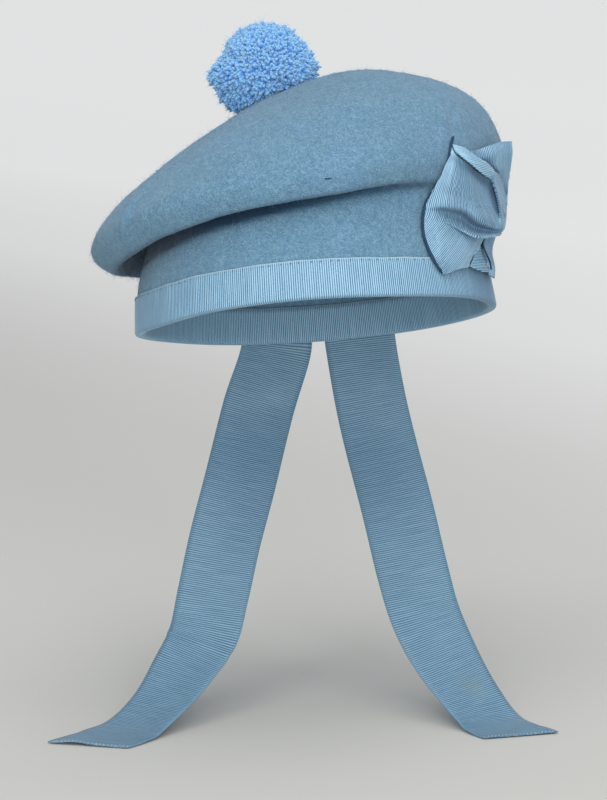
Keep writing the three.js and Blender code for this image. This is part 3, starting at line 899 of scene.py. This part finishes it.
def buildStitches(shape, girth):
    # short upright stitches over the binding's top edge
    stitches = shape["stitches"]
    count = round(girth / stitches["every"])
    random = np.random.default_rng(stitches["seed"])
    uneven = stitches["uneven"]
    bearings = (np.arange(count) + random.uniform(-uneven, uneven, count)) * 360 / count
    heights = np.array([shape["leafUp"] - stitches["reach"], shape["leafUp"] + stitches["over"]])
    proud = hatShape["gap"] + stitches["radius"] * stitches["proud"]
    low, high = asWorn(wallPoint(bearings, np.repeat(heights[:, None], count, axis=1),
                                 np.repeat([[proud + ribbonLook["thickness"]], [proud]], count, axis=1)))
    way = high + random.normal(0, stitches["slant"], (count, 1)) * np.array([1, 0, 0]) - low
    piece = fibreMesh("rimStitches", low, unit(way), np.linalg.norm(way, axis=1), stitches["radius"],
                      np.full((count, 3), 0.001), darkThreadAndShadow)


buildBinding(bindingShape)
print("binding is sewn on")


# Tails

tailShapes = [
    {"name": "tailLeft", "node": "ribbon_tail_left", "seamBearing": 166, "endSlant": 6.5, "rows": [
        (31, 96, -62, -6), (44.1, 72, -112.3, 0), (51.5, 58, -142.3, 4), (57.9, 47, -163.3, 10),
        (67.4, 37, -182.1, 20), (79, 26, -198.9, 32), (90, 13.3, -210.5, 40),
        (96.7, 2.9, -212.3, 38), (104.6, -8.2, -212.3, 32),
    ], "creases": [], "toe": {"side": 0.72, "wide": 0.2, "fromEnd": 9, "reach": 5, "lift": 1.3}},
    {"name": "tailRight", "node": "ribbon_tail_right", "seamBearing": 194, "endSlant": -9, "rows": [
        (-30, 96, -60, 6), (-40, 74, -98.4, 2), (-47.4, 61, -125.7, -3), (-53.3, 49, -152.1, -8),
        (-58.3, 39.5, -172.1, -15), (-67.4, 30, -186.3, -25), (-78.1, 18, -200.3, -39),
        (-92.4, 1, -210.9, -48), (-102.3, -12.1, -212.3, -44), (-114.2, -27, -212.3, -38),
    ], "creases": [{"share": 0.66, "depth": 0.7, "wide": 1.5}],
     "toe": {"side": -0.35, "wide": 0.4, "fromEnd": 0, "reach": 7, "lift": 1.2}},
]
tailSeam = {"heights": (16.5, 8, -2), "standOff": 2.9, "seamHug": 1.6, "freeHug": 0.6, "ripple": 0.5}
tailMesh = {"acrossPoints": 13, "ribSteps": 3, "turnSmooth": 61}
# shares of the length: where the cross bend settles, where it flattens to the cut end, where the slant
# of the cut starts, and where the ripple fades out
tailFall = {"settled": 1 / 5, "flatten": 1 / 6, "slantFrom": 0.85, "rippleEnd": 1 / 5, "ripples": 9}
frayLook = {
    "count": 70,
    "lengthMm": (0.4, 1.4),
    "radiusMm": 0.09,
    "seed": 31,
    "colour": ("#a9c8dc", "#d5e5ef"),
    "roughness": 0.7,
    "spread": 0.45,
    "rise": 0.1,
    "curl": 0.1,
    "oversewn": {"count": 21, "rowIn": 0.9, "lengthMm": 1.1, "radiusMm": 0.26, "spread": 0.15,
                 "inset": 0.2, "proud": 0.7},
}


def buildTail(tail):
    # a ribbon along its middle line, turned about it and bent across, from the seam to the cut end
    table = np.array(tail["rows"], dtype=float)
    heights = np.array(tailSeam["heights"], dtype=float)[:, None]
    bearing = np.array([float(tail["seamBearing"])])
    seam = asWorn(wallPoint(bearing, heights, np.full(heights.shape, tailSeam["standOff"]))[:, 0])
    turns = np.append([table[0, 3] * 2] * len(seam), table[:, 3])
    fine = np.linspace(0, 1, 2001)
    line = alongCurve(np.concatenate([seam, table[:, :3]]), fine)
    gone = travelled(line)
    length = gone[-1]
    rows = round(length / ribbonLook["pitch"]) * tailMesh["ribSteps"] + 1
    along = np.linspace(0, length, rows)
    place = np.interp(along, gone, fine)
    middle = readTable(along, gone, line)
    forward = unit(np.gradient(middle, axis=0))
    turn = np.radians(np.interp(place * (len(turns) - 1), np.arange(len(turns)), turns))
    smooth = np.ones(tailMesh["turnSmooth"]) / tailMesh["turnSmooth"]
    turn = np.convolve(np.pad(turn, tailMesh["turnSmooth"] // 2, mode="edge"), smooth, mode="valid")
    width = np.stack([np.cos(turn), np.sin(turn), np.zeros(rows)], axis=1)
    width = unit(width - forward * (width * forward).sum(axis=1, keepdims=True))
    face = np.cross(forward, width)
    share = along / length
    fall = tailFall
    hug = np.interp(share, (0, fall["settled"]), (tailSeam["seamHug"], tailSeam["freeHug"]))
    hug = hug * np.minimum((1 - share) / fall["flatten"], 1)
    step = np.clip((share - fall["slantFrom"]) / (1 - fall["slantFrom"]), 0, 1)
    slant = tail["endSlant"] * step * step * (3 - 2 * step)
    sides = np.linspace(-1, 1, tailMesh["acrossPoints"])
    ripple = noiseAt(share[:, None] * [fall["ripples"], 0, 0], (0, tail["seamBearing"], 0.5))
    ripple = ripple * tailSeam["ripple"] * np.minimum((1 - share) / fall["rippleEnd"], 1)
    bend = sides ** 2 * hug[:, None] + sides * ripple[:, None]
    grid = middle[:, None] + width[:, None] * (sides * ribbonLook["width"] / 2)[None, :, None]
    grid = grid + face[:, None] * bend[..., None]
    grid = grid + forward[:, None] * (sides * slant[:, None])[..., None]
    toe = tail["toe"]
    near = bell(length - along - toe["fromEnd"], toe["reach"])
    grid[..., 2] += toe["lift"] * near[:, None] * bell(sides - toe["side"], toe["wide"])
    normal = gridNormals(grid)
    lift = ribLift(along)
    for crease in tail["creases"]:
        lift = lift - crease["depth"] * bell((share - crease["share"]) * length, crease["wide"])
    grid = grid + normal * lift[:, None, None]
    uv = np.stack(np.broadcast_arrays((sides + 1)[None] * ribbonLook["width"] / 2 * mm,
                                      along[:, None] * mm), axis=-1)
    piece = sheetPiece(tail["name"], grid, ribbonLook["thickness"], shadedTailGrosgrain, uv)
    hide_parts(tail["node"])
    print(tail["name"], "length mm", round(length))
    return grid[-1], normal[-1], forward[-1]


def buildFrays(look, ends):
    # pale thread ends along each cut end, with a row of short oversewn stitches on its edge
    random = np.random.default_rng(look["seed"])
    oversewn = look["oversewn"]
    roots, ways, lengths, radii = [], [], [], []
    for end, normal, forward in ends:
        stations = np.arange(len(end))
        roots.append(readTable(random.uniform(0, len(end) - 1, look["count"]), stations, end))
        loose = random.normal(0, look["spread"], (look["count"], 3))
        ways.append(forward + loose + [0, 0, look["rise"]])
        lengths.append(random.uniform(*look["lengthMm"], look["count"]))
        radii.append(np.full(look["count"], look["radiusMm"]))
        face = normal[len(normal) // 2]
        face = face * np.sign(face[2])
        inset = oversewn["inset"]
        row = readTable(np.linspace(inset, len(end) - 1 - inset, oversewn["count"]), stations, end)
        proud = face * (ribbonLook["thickness"] * oversewn["proud"])
        roots.append(row - forward * oversewn["rowIn"] + proud)
        ways.append(forward + random.normal(0, oversewn["spread"], (oversewn["count"], 3)))
        lengths.append(np.full(oversewn["count"], oversewn["lengthMm"]))
        radii.append(np.full(oversewn["count"], oversewn["radiusMm"]))
    ways = unit(np.concatenate(ways))
    curls = random.normal(0, look["curl"], ways.shape)
    piece = fibreMesh("tailFrays", np.concatenate(roots), ways, np.concatenate(lengths),
                      np.concatenate(radii)[:, None], curls, fibreMaterial("frayedRibbonThread", look))


buildFrays(frayLook, [buildTail(tail) for tail in tailShapes])


# Cockade

# Each leaf of the cockade has a row for each fold or level and a column for each of its upright lines.
# A point is its bearing, its distance out from the rim's oval, its height up, and the lean of the
# ribbon's ribs there, in degrees from level as seen from the front.
# each crease is a path of points, how far it reaches, its depth in mm, and how strong the painted shade
# along it is
cockadeLeaves = [
    {"name": "cockadeFrontRibbon", "node": "cockade_front", "across": 170, "up": 200, "rows": [
        [(46.8, 7.8, 68, 58), (47, 9.7, 64, 80), (52, 10, 60.5, 90), (60, 9, 56.5, 95),
         (64.2, 11, 56, 98), (62, 13.6, 58.4, 110), (66.6, 13, 58, 110)],
        [(44.8, 7.8, 62, 58), (44.8, 10.8, 57, 78), (50.8, 11, 54.5, 92), (58.5, 10.3, 52.5, 97),
         (65.2, 11.4, 52.8, 104), (61, 13.6, 53.8, 122), (69.5, 13.2, 54.6, 118)],
        [(43.2, 5.2, 54.5, 54), (44, 9.3, 50.5, 62), (50.5, 11.2, 48.7, 104), (59.5, 10.6, 47.5, 114),
         (67.4, 11, 48.6, 120), (62.6, 13.7, 48.4, 130), (71.5, 12.8, 49, 124)],
        [(41.8, 0.8, 47.5, 51), (44.5, 6.5, 45, 56), (51.2, 10.2, 42.7, 110), (60.2, 10.9, 41.2, 124),
         (67.4, 11.9, 42, 128), (64.2, 13.5, 42, 118), (72.8, 12.2, 42.6, 108)],
        [(39.8, -1, 41.5, 50), (43.2, 5.4, 39.6, 54), (49.5, 9.2, 38.6, 108), (54.8, 11.2, 34.2, 130),
         (61.8, 11.6, 32, 132), (65, 13.2, 31.4, 102), (70, 11.6, 32.4, 92)],
        [(39, -1.4, 38.6, 52), (44.6, 1.6, 38, 55), (53.6, 1.6, 36.6, 70), (59.5, 2.2, 33, 70),
         (62.5, 7, 30.7, 70), (65.6, 11.4, 29.8, 76), (69.6, 10.4, 30.8, 84)],
        [(38.6, -1.4, 36, 52), (43.6, 1.5, 34, 54), (51.6, 3.7, 29.4, 55), (54, 8, 26, 52),
         (58.6, 9.7, 26, 46), (63.6, 11.2, 27.6, 44), (68.6, 10.2, 29.3, 50)],
        [(38.3, -1.3, 32.6, 46), (43.8, 1.4, 31.6, 43), (54, 1.6, 31, 40), (61.5, 2, 30.7, 46),
         (65, 2.6, 30.2, 57), (67.5, 3.2, 29.8, 60), (70, 3.4, 29.6, 60)],
        [(38.2, -1.1, 28, 45), (43, 2.1, 27, 43), (51.2, 2.8, 26.7, 41), (57.5, 3, 26.7, 48),
         (61.5, 2.8, 26.6, 55), (63.8, 2.6, 26.5, 55), (65.6, 2.4, 26.5, 55)],
        [(39.2, -0.4, 22, 44), (42, 2.9, 21, 44), (47.2, 4.2, 20.3, 43), (53, 4.1, 20.5, 48),
         (57, 3.4, 20.7, 55), (59.8, 2.8, 21, 55), (62.2, 2.3, 21.5, 55)],
        [(40.8, 1, 14.7, 48), (42.4, 2.5, 13.9, 50), (45.8, 3.7, 14, 52), (50.2, 4, 14.8, 53),
         (53.4, 3.4, 15.7, 54), (55.8, 2.8, 16.6, 54), (57.6, 2.3, 17.4, 54)],
        [(43.2, 1.9, 7.6, 48), (44.9, 2.1, 8, 50), (46.8, 2.7, 9.2, 52), (49.5, 3, 10.6, 53),
         (51.8, 2.7, 11.2, 54), (53.5, 2.4, 11.7, 54), (55, 2.1, 12, 54)],
    ], "creases": [
        {"path": [(40.5, 0.6, 35.3), (40, 1.2, 29.9), (40.8, 1.8, 24.6)], "wide": 0.7, "depth": 0.5,
         "shade": 0.4},
        {"path": [(44, 3.6, 38.8), (51.5, 5, 37.4), (57, 5.6, 33.4), (62, 8.6, 31.2), (65.4, 11.8, 30.5)],
         "wide": 2.8, "depth": 0.4, "shade": 0.66},
        {"path": [(45.5, 9.3, 62.5), (48.5, 10.6, 59.4), (54.2, 10.1, 56.2), (60.2, 10.4, 52.4)],
         "wide": 2.6, "depth": 0.2, "shade": 0.45},
        {"path": [(62.2, 10.5, 51.5), (63, 10.4, 48.2), (63.5, 10.9, 43.9), (64.5, 11.4, 40.1)],
         "wide": 2, "depth": 0.2, "shade": 0.45},
        {"path": [(45.2, 9.5, 61.4), (44.8, 10.9, 55.6), (44.5, 9.6, 49.9)], "wide": 0.9, "depth": 0.4,
         "shade": 0.2},
        {"path": [(67.6, 13, 57), (70.6, 13, 51), (72.6, 12.4, 44), (71, 12, 36)],
         "wide": 1.3, "depth": 0, "shade": 0.4},
        {"path": [(61.2, 13.6, 56), (61, 13.6, 53.8), (62.6, 13.7, 48.4), (64.2, 13.5, 42),
                  (65, 13.3, 36)], "wide": 1.1, "depth": 0, "shade": 0.6},
    ]},
    {"name": "cockadeTopStrip", "partOf": "cockadeFrontRibbon", "across": 90, "up": 70, "rows": [
        [(47.5, 7.5, 69.8, 164), (50.4, 10, 68.4, 162), (53.4, 11.9, 65, 160), (58.6, 12.7, 62.4, 158)],
        [(47.2, 8.3, 68, 164), (50, 11.6, 65.2, 162), (53.8, 13.1, 62.7, 160), (60, 13.6, 60.8, 158)],
        [(47.2, 9, 66.4, 164), (50.5, 12.4, 62.7, 162), (55, 13.9, 59.8, 160), (62.4, 13.6, 58.7, 158)],
        [(47.5, 9.6, 65.3, 164), (51, 12.8, 60, 162), (55.5, 14, 55.8, 160), (61.5, 12.8, 54.4, 158)],
    ], "creases": []},
    {"name": "cockadeBackRibbon", "node": "cockade_back", "across": 104, "up": 190, "rows": [
        [(55.5, 8.4, 68.2, 110), (59.5, 8.8, 69.3, 105), (63, 12, 71.5, 98), (68, 14.4, 74.2, 92),
         (72.8, 17.5, 75.6, 90)],
        [(55.5, 9, 65.4, 110), (58.2, 10, 65, 105), (61.2, 13.6, 66, 98), (65.8, 15.7, 67.7, 92),
         (71, 18.2, 69.2, 90)],
        [(58.8, 7.8, 61.3, 108), (60.5, 10, 61.8, 104), (63.2, 12.4, 61.5, 98), (66.5, 14.6, 61.5, 93),
         (70.8, 17, 63, 90)],
        [(63.8, 5, 57, 105), (66.8, 6.6, 57.6, 100), (69.2, 8.4, 57.5, 96), (71, 11.4, 57, 92),
         (72.5, 15, 57.7, 90)],
        [(67.8, 2.4, 51, 100), (72.8, 3.6, 52, 98), (77, 5.6, 53, 94), (78, 8.8, 53, 92),
         (76.2, 12.3, 52.5, 90)],
        [(69, 1, 43.8, 98), (74.5, 2.2, 45, 95), (79, 4.6, 46, 92), (80.5, 7.6, 46.3, 90),
         (78.5, 10.8, 46.3, 90)],
        [(69, 0.4, 36, 96), (73.5, 1.4, 36.3, 93), (77, 2.8, 37, 90), (79.5, 4.6, 38, 90),
         (81, 6.6, 38.5, 90)],
        [(68.5, 1.2, 28.3, 94), (70.5, 2.6, 28.6, 92), (72.8, 3.6, 28.8, 90), (75, 3.9, 29, 90),
         (77, 3.8, 29.7, 90)],
        [(65.2, 3.2, 22.2, 92), (68.2, 3.8, 21.8, 90), (71.2, 3.7, 21.8, 90), (73.5, 3, 22, 90),
         (75.4, 2.2, 22.6, 90)],
        [(68.3, 3.5, 15.2, 90), (71.2, 3.8, 14.8, 90), (73.8, 3.6, 14.6, 90), (75.6, 3, 14.8, 90),
         (77.1, 2.4, 15.2, 90)],
        [(70, 2.6, 10.4, 90), (71.8, 2.8, 10, 90), (73.6, 2.8, 9.9, 90), (75.2, 2.5, 10, 90),
         (76.8, 2.2, 10.2, 90)],
    ], "creases": [
        {"path": [(56.8, 9.4, 64.9), (59.8, 11, 63.6), (62.5, 12.1, 61.7), (66.8, 12, 59.3)], "wide": 1.4,
         "depth": 0.8, "shade": 0.8},
        {"path": [(57, 8.8, 67.6), (59.5, 11.3, 66), (61.4, 12.7, 63.8)], "wide": 3, "depth": 0.3,
         "shade": 0.5},
        {"path": [(72.5, 3.9, 28.8), (71, 3.7, 21.8), (73.8, 3.6, 14.6), (73.6, 2.8, 9.9)], "wide": 4,
         "depth": 0, "shade": 0.35},
    ]},
    {"name": "cockadeInnerFold", "partOf": "cockadeFrontRibbon", "across": 44, "up": 44, "rows": [
        [(62.6, 1.2, 24.6, 168), (63.8, 1.6, 24.6, 168), (65.4, 1.2, 24.4, 168)],
        [(59.8, 1.8, 18.6, 170), (63, 2.7, 18.2, 168), (67.4, 1.8, 18.6, 166)],
        [(56, 2.3, 12.6, 172), (62, 3.9, 10.8, 168), (70, 2.6, 12.2, 164)],
    ], "creases": []},
]

cockadeRibbon = {
    "thickness": 0.8,
    "ribs": 1.4,           # the creased ribbon's ribs are squeezed closer
    "edgeReach": 20,       # mm in from the edge, past which no second selvage shows
    "phaseGrid": (22, 15), # how finely the course of the ribs is worked out, up and across
    "leastFacing": 0.3,    # how squarely a fold has to face the front for its ribs to follow the lean
}


def ribPhase(grid, lean):
    # how far along the ribbon each point lies, so that its ribs follow the given lean
    picks = [np.unique(np.append(np.arange(0, size, max(1, size // coarse)), size - 1))
             for size, coarse in zip(grid.shape, cockadeRibbon["phaseGrid"])]
    spot = np.ix_(*picks)
    points, angle = grid[spot], np.radians(lean[spot])
    normal = gridNormals(points)
    least = cockadeRibbon["leastFacing"]
    facing = normal[..., 1]
    faceOn = np.where(np.abs(facing) < least, np.where(facing > 0, least, -least), facing)
    depth = -(np.cos(angle) * normal[..., 0] + np.sin(angle) * normal[..., 2]) / faceOn
    rib = unit(np.stack([np.cos(angle), depth, np.sin(angle)], axis=-1))
    ahead = np.cross(rib, normal) * np.where(facing > 0, -1, 1)[..., None]
    rows, columns = angle.shape
    index = np.arange(rows * columns).reshape(rows, columns)
    first = np.concatenate([index[:, :-1].ravel(), index[:-1].ravel()])
    second = np.concatenate([index[:, 1:].ravel(), index[1:].ravel()])
    points, ahead = points.reshape(-1, 3), ahead.reshape(-1, 3)
    wanted = ((ahead[first] + ahead[second]) / 2 * (points[second] - points[first])).sum(axis=1)
    matrix = np.zeros((len(first) + 1, rows * columns))
    pair = np.arange(len(first))
    matrix[pair, first] = -1
    matrix[pair, second] = 1
    matrix[-1, 0] = 1
    solved = np.linalg.solve(matrix.T @ matrix, matrix.T @ np.append(wanted, 0)).reshape(rows, columns)
    return readGrid(np.arange(len(grid)), picks[0], np.arange(len(grid[0])), picks[1], solved)


def buildLeaf(leaf, foldedParts):
    table = np.array(leaf["rows"], dtype=float)
    levels, lines = table.shape[:2]
    across = alongCurve(asWorn(onHat(table)), np.linspace(0, 1, leaf["across"]))
    grid = np.swapaxes(alongCurve(np.swapaxes(across, 0, 1), np.linspace(0, 1, leaf["up"])), 0, 1)
    lean = readGrid(np.linspace(0, levels - 1, leaf["up"]), np.arange(levels),
                    np.linspace(0, lines - 1, leaf["across"]), np.arange(lines), table[..., 3])
    phase = ribPhase(grid, lean) * cockadeRibbon["ribs"]
    normal = gridNormals(grid)
    if normal[..., 1].mean() > 0:
        normal = -normal
    # painted shade along each crease, carried to the ribbon's material by the foldShade attribute
    shade = np.zeros(phase.shape)
    for crease in leaf["creases"]:
        near = bell(awayFrom(grid, asWorn(onHat(crease["path"])), 40), crease["wide"])
        grid = grid - normal * (crease["depth"] * near)[..., None]
        shade = np.maximum(shade, crease["shade"] * near)
    grid = grid + normal * ribLift(phase)[..., None]
    fromEdge = np.append(0, np.cumsum(np.linalg.norm(np.diff(grid, axis=1), axis=-1).mean(axis=0)))
    fromEdge = np.minimum(fromEdge, cockadeRibbon["edgeReach"])
    uv = np.stack(np.broadcast_arrays(fromEdge * mm, phase * mm), axis=-1)
    ribbon = crispGrosgrain if "partOf" in leaf else cockadeGrosgrain
    piece = sheetPiece(leaf["name"], grid, cockadeRibbon["thickness"], ribbon, uv, shade)
    if "node" in leaf:
        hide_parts(leaf["node"])
    if "partOf" in leaf:
        foldedParts.setdefault(leaf["partOf"], []).append(piece)
        return


partsOfLeaves = {}
for cockadeLeaf in sorted(cockadeLeaves, key=lambda leaf: "partOf" not in leaf):
    buildLeaf(cockadeLeaf, partsOfLeaves)


# Toorie

toorieLook = {
    "shift": (-2.5, 0, -0.45),
    "heart": 14,           # mm above the crown, where the yarn is tied
    # the trimmed ball's outline from the front: angle up from the wearer's left, mm from the heart
    "trim": [(0, 26.8), (14, 26.2), (22, 25.4), (32, 24.2), (45, 23.4), (57, 23.6), (77, 23.2),
             (100, 23.3), (124, 23.2), (144, 22.6), (161, 21.3), (166, 23.4), (174, 25.5), (181, 27.5),
             (189, 28.5), (200, 27.1), (228, 27.1), (240, 25.7), (270, 23), (310, 23), (335, 25),
             (352, 27)],
    "depthReach": 25,
    "lowest": -0.78,
    "strands": 4200,
    "strandRadius": 0.78,
    "strandSides": 6,
    # a strand's levels as shares of its reach, and its width at each; its tip closes just past the last
    "levels": (0.8, 0.93, 0.985, 1.0),
    "widths": (0.8, 1.0, 0.95, 0.6),
    "tip": 1.004,
    "reachShare": 0.957,
    "tuftReach": 0.04,
    "uneven": 0.019,
    "tuft": 0.03,
    "scatter": 0.014,
    "bend": 0.065,
    "bendTimes": 2.4,
    "tintSpread": 0.07,
    "stray": {"angle": 2, "within": 6, "facing": 0.12, "count": 4, "longer": 1.12},
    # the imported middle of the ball
    "heartShare": 0.865,
    "heartRows": 30,
    "heartSides": 48,
    # the core's place on the yarn's colour ramp, in its deep painted shade
    "heartTone": 0.42,
    "heartClear": 0.5,
    "seed": 5,
    # yarn colour from a strand's root to its cut end: the deep tone at the roots is painted shade between
    # the strands
    "stops": [(0.1, "#2d70ca"), (0.62, "#438bd8"), (1.0, "#80b6da")],
    "twistSize": 1 / 3,    # mm, the yarn's own twist
    "bumpMm": 0.2,
    "bumpStrength": 0.5,
    "shader": {"Roughness": 0.85, "Specular IOR Level": 0.25, "Sheen Weight": 1.0, "Sheen Roughness": 0.5,
               "Sheen Tint": "#cfe6f6"},
    "fuzz": {"count": 7000, "lengthMm": (0.8, 2.8), "radius": 0.08, "spread": 0.45, "curl": 0.3,
             "root": 0.985, "colour": ("#8fc0ee", "#cfe5f8"), "roughness": 0.8},
}


def yarnMaterial(look):
    # worsted wool yarn, cut to a pile: matt, with painted shade that darkens each strand towards its root
    # between the strands, and pale at the cut ends
    material, tree, shader = newMaterial("cutWoolYarn", look["shader"])
    out = addNode(tree, "Attribute", {"attribute_name": "alongStrand"}).outputs["Fac"]
    tint = addNode(tree, "Attribute", {"attribute_name": "strandTint"}).outputs["Fac"]
    tone = addNode(tree, "Math", {"operation": "ADD"}, {0: out, 1: tint})
    colour = addNode(tree, "ValToRGB", {"stops": look["stops"]}, {"Fac": tone})
    coords = addNode(tree, "TexCoord").outputs["Object"]
    twist = addNode(tree, "TexNoise", {"Scale": 1 / (look["twistSize"] * mm), "Detail": 2.0},
                    {"Vector": coords})
    finishSurface(tree, shader, look, colour.outputs["Color"], twist)
    return material


def toorieFrame(normal):
    up = unit(normal)
    side = unit(np.cross([0, 1, 0], up))
    return np.stack([side, np.cross(up, side), up])


def crownUnderBall(frameRows, place):
    # the crown's face beneath the ball, as a curved height over the ball's own base
    topRows, reach = 50, 40     # how much of the crown's top is looked at, and how many mm round the ball
    near = (crownGrid[-topRows:].reshape(-1, 3) - place) @ frameRows.T
    near = near[np.hypot(near[:, 0], near[:, 1]) < reach]
    return np.linalg.lstsq(baseTerms(near), near[:, 2], rcond=None)[0]


def baseTerms(points):
    a, b = points[:, 0], points[:, 1]
    return np.stack([np.ones(len(a)), a, b, a * a, a * b, b * b], axis=1)


def ballReach(look, ways, frameRows):
    # how far from the heart the ball reaches each way, trimmed round and resting on the crown
    world = asWorn(ways @ frameRows)
    trim = np.array(look["trim"], dtype=float)
    angle = np.degrees(np.arctan2(world[:, 2], world[:, 0]))
    wide = np.interp(angle, trim[:, 0], trim[:, 1], period=360)
    facing = world[:, 1] ** 2
    return 1 / np.sqrt((1 - facing) / wide ** 2 + facing / look["depthReach"] ** 2), angle


def restOnCrown(look, ways, reach, base, clear):
    # strands that point down are cut short where they meet the crown, found in a few steps
    for step in range(8):
        tip = ways * reach[:, None]
        over = baseTerms(tip) @ base + clear - (look["heart"] + tip[:, 2])
        shorter = reach + over / np.minimum(ways[:, 2], -0.05)
        reach = np.where((over > 0) & (ways[:, 2] < 0), shorter, reach)
    return np.maximum(reach, 6)


def strandPoints(look, random, ways, reach):
    # rings of points up each strand and a point at its tip: strand, point, xyz
    bend = random.normal(0, look["bend"], ways.shape)
    spin = unit(np.cross(ways, [0.3, 0.5, 0.8]))
    other = np.cross(ways, spin)
    root, times = look["levels"][0], look["bendTimes"]
    points = []
    for t, wide in zip(look["levels"], look["widths"]):
        centre = ways * (reach * t)[:, None] + bend * (reach * (t - root) * times)[:, None]
        for s in range(look["strandSides"]):
            a = 2 * math.pi * s / look["strandSides"]
            ring = spin * math.cos(a) + other * math.sin(a)
            points.append(centre + ring * look["strandRadius"] * wide)
    points.append(ways * (reach * look["tip"])[:, None] + bend * (reach * (1 - root) * times)[:, None])
    return np.stack(points, axis=1)


def buildToorie(look):
    random = np.random.default_rng(look["seed"])
    count = look["strands"]
    frameRows = toorieFrame(crownNormal[-2].mean(axis=0))
    place = np.array(hatShape["crownMiddle"]) + np.array(look["shift"])
    base = crownUnderBall(frameRows, place)
    # strands spread evenly over the ball by the golden angle, then gathered into soft tufts
    k = np.arange(count) + 0.5
    z = 1 - (1 - look["lowest"]) * k / count
    angle = k * math.pi * (3 - math.sqrt(5))
    ring = np.sqrt(1 - z * z)
    ways = np.stack([ring * np.cos(angle), ring * np.sin(angle), z], axis=1)
    tufts = np.stack([noiseAt(ways * 4, (9 * axis, 0, axis)) for axis in range(3)], axis=1)
    ways = unit(ways + tufts * look["tuft"] + random.normal(0, look["scatter"], ways.shape))
    reach, seenAngle = ballReach(look, ways, frameRows)
    uneven = random.normal(0, look["uneven"], count)
    reach *= look["reachShare"] + tufts[:, 0] * look["tuftReach"] + uneven
    stray = look["stray"]
    near = np.abs(seenAngle - stray["angle"]) < stray["within"]
    near &= np.abs(asWorn(ways @ frameRows)[:, 1]) < stray["facing"]
    loose = np.flatnonzero(near)
    reach[loose[:stray["count"]]] *= stray["longer"]
    reach = restOnCrown(look, ways, reach, base, look["strandRadius"])
    table = strandPoints(look, random, ways, reach)
    size, sides, levels = table.shape[1], look["strandSides"], np.array(look["levels"])
    faces = copyFaces(quadFaces(len(levels), sides, closed=True), count, size)
    top = (len(levels) - 1) * sides
    for s in range(sides):
        faces += copyFaces([[top + s, top + (s + 1) % sides, size - 1]], count, size)
    faces += copyFaces([list(range(sides))[::-1]], count, size)
    along = np.append(np.repeat((levels - levels[0]) / (1 - levels[0]), sides), 1.0)
    tint = np.repeat(random.normal(0, look["tintSpread"], count), size)

    def onCrown(points):
        return asWorn((points + [0, 0, look["heart"]]) @ frameRows + place)

    piece = makePiece("toorieYarn", onCrown(table.reshape(-1, 3)), faces, yarn,
                      values={"alongStrand": np.tile(along, count), "strandTint": tint})
    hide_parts("toorie")
    buildToorieHeart(look, frameRows, base, onCrown)
    fuzz = look["fuzz"]
    pick = random.choice(count, fuzz["count"])
    loose = unit(ways[pick] + random.normal(0, fuzz["spread"], (len(pick), 3)))
    curls = random.normal(0, fuzz["curl"], (len(pick), 3))
    lengths = random.uniform(*fuzz["lengthMm"], len(pick))
    piece = fibreMesh("toorieFuzz", onCrown(table[pick, -1] * fuzz["root"]), asWorn(loose @ frameRows),
                      lengths, fuzz["radius"], curls, fibreMaterial("looseYarnFibre", fuzz), steps=1)


def buildToorieHeart(look, frameRows, base, onCrown):
    # the imported middle of the ball, in the yarn's deep tone, which shows between the strands as painted
    # shade
    rows, sides = look["heartRows"], look["heartSides"]
    theta = np.repeat(np.linspace(0.03, math.pi - 0.03, rows), sides)
    phi = np.tile(np.arange(sides) * 2 * math.pi / sides, rows)
    ways = np.stack([np.sin(theta) * np.cos(phi), np.sin(theta) * np.sin(phi), np.cos(theta)], axis=1)
    reach = ballReach(look, ways, frameRows)[0] * look["heartShare"]
    reach = restOnCrown(look, ways, reach, base, look["heartClear"])
    faces = quadFaces(rows, sides, closed=True, flip=True)
    faces.append(list(range(sides)))
    faces.append([(rows - 1) * sides + k for k in reversed(range(sides))])
    tone = np.full(rows * sides, look["heartTone"])
    piece = makePiece("toorieHeart", onCrown(ways * reach[:, None]), faces, yarn,
                      values={"alongStrand": tone, "strandTint": tone * 0})


# Dark whipped edges down the front of the cockade and beside its inner fold; the one beside the inner
# fold is partly painted shadow, standing for the shadow gap there

edgeSeams = [
    {"name": "cockadeEdgeSeam", "radius": 0.7, "path": [
        (49.2, 6.3, 74.4), (47, 7.3, 69.5), (45.2, 7.9, 62.3), (44.7, 7.1, 58.4), (43.4, 4.6, 52.8),
        (41.9, 0.7, 47), (40, -0.9, 42.1), (38.7, -1.1, 36.6), (37.9, -0.8, 30.5), (38.1, -0.7, 25.7),
        (39, -0.3, 20.4), (39.9, 1.1, 14.7), (42.8, 2, 7.9)]},
    # partly painted shadow: this dark line also stands for the shadow gap beside the inner fold
    {"name": "cockadeStripSeamAndShadow", "radius": 0.45, "path": [
        (69, 2.4, 29.5), (65.3, 3, 24.9), (65, 4, 21.4), (68, 4.3, 16.4), (69.6, 3.8, 12.8)]},
]


whipping = {"rings": 20, "turn": 0.9, "proud": (0.07, 0, 0.028)}


def buildEdgeSeam(seam):
    count = whipping["rings"] * len(seam["path"])
    line = alongCurve(asWorn(onHat(seam["path"])), np.linspace(0, 1, count))
    line = line + np.sin(np.arange(count) * whipping["turn"])[:, None] * whipping["proud"]
    piece = tubeMesh(seam["name"], line, seam["radius"], darkThreadAndShadow)


for edgeSeam in edgeSeams:
    buildEdgeSeam(edgeSeam)
print("cockade is folded")

yarn = yarnMaterial(toorieLook)
buildToorie(toorieLook)
print("toorie is tied")
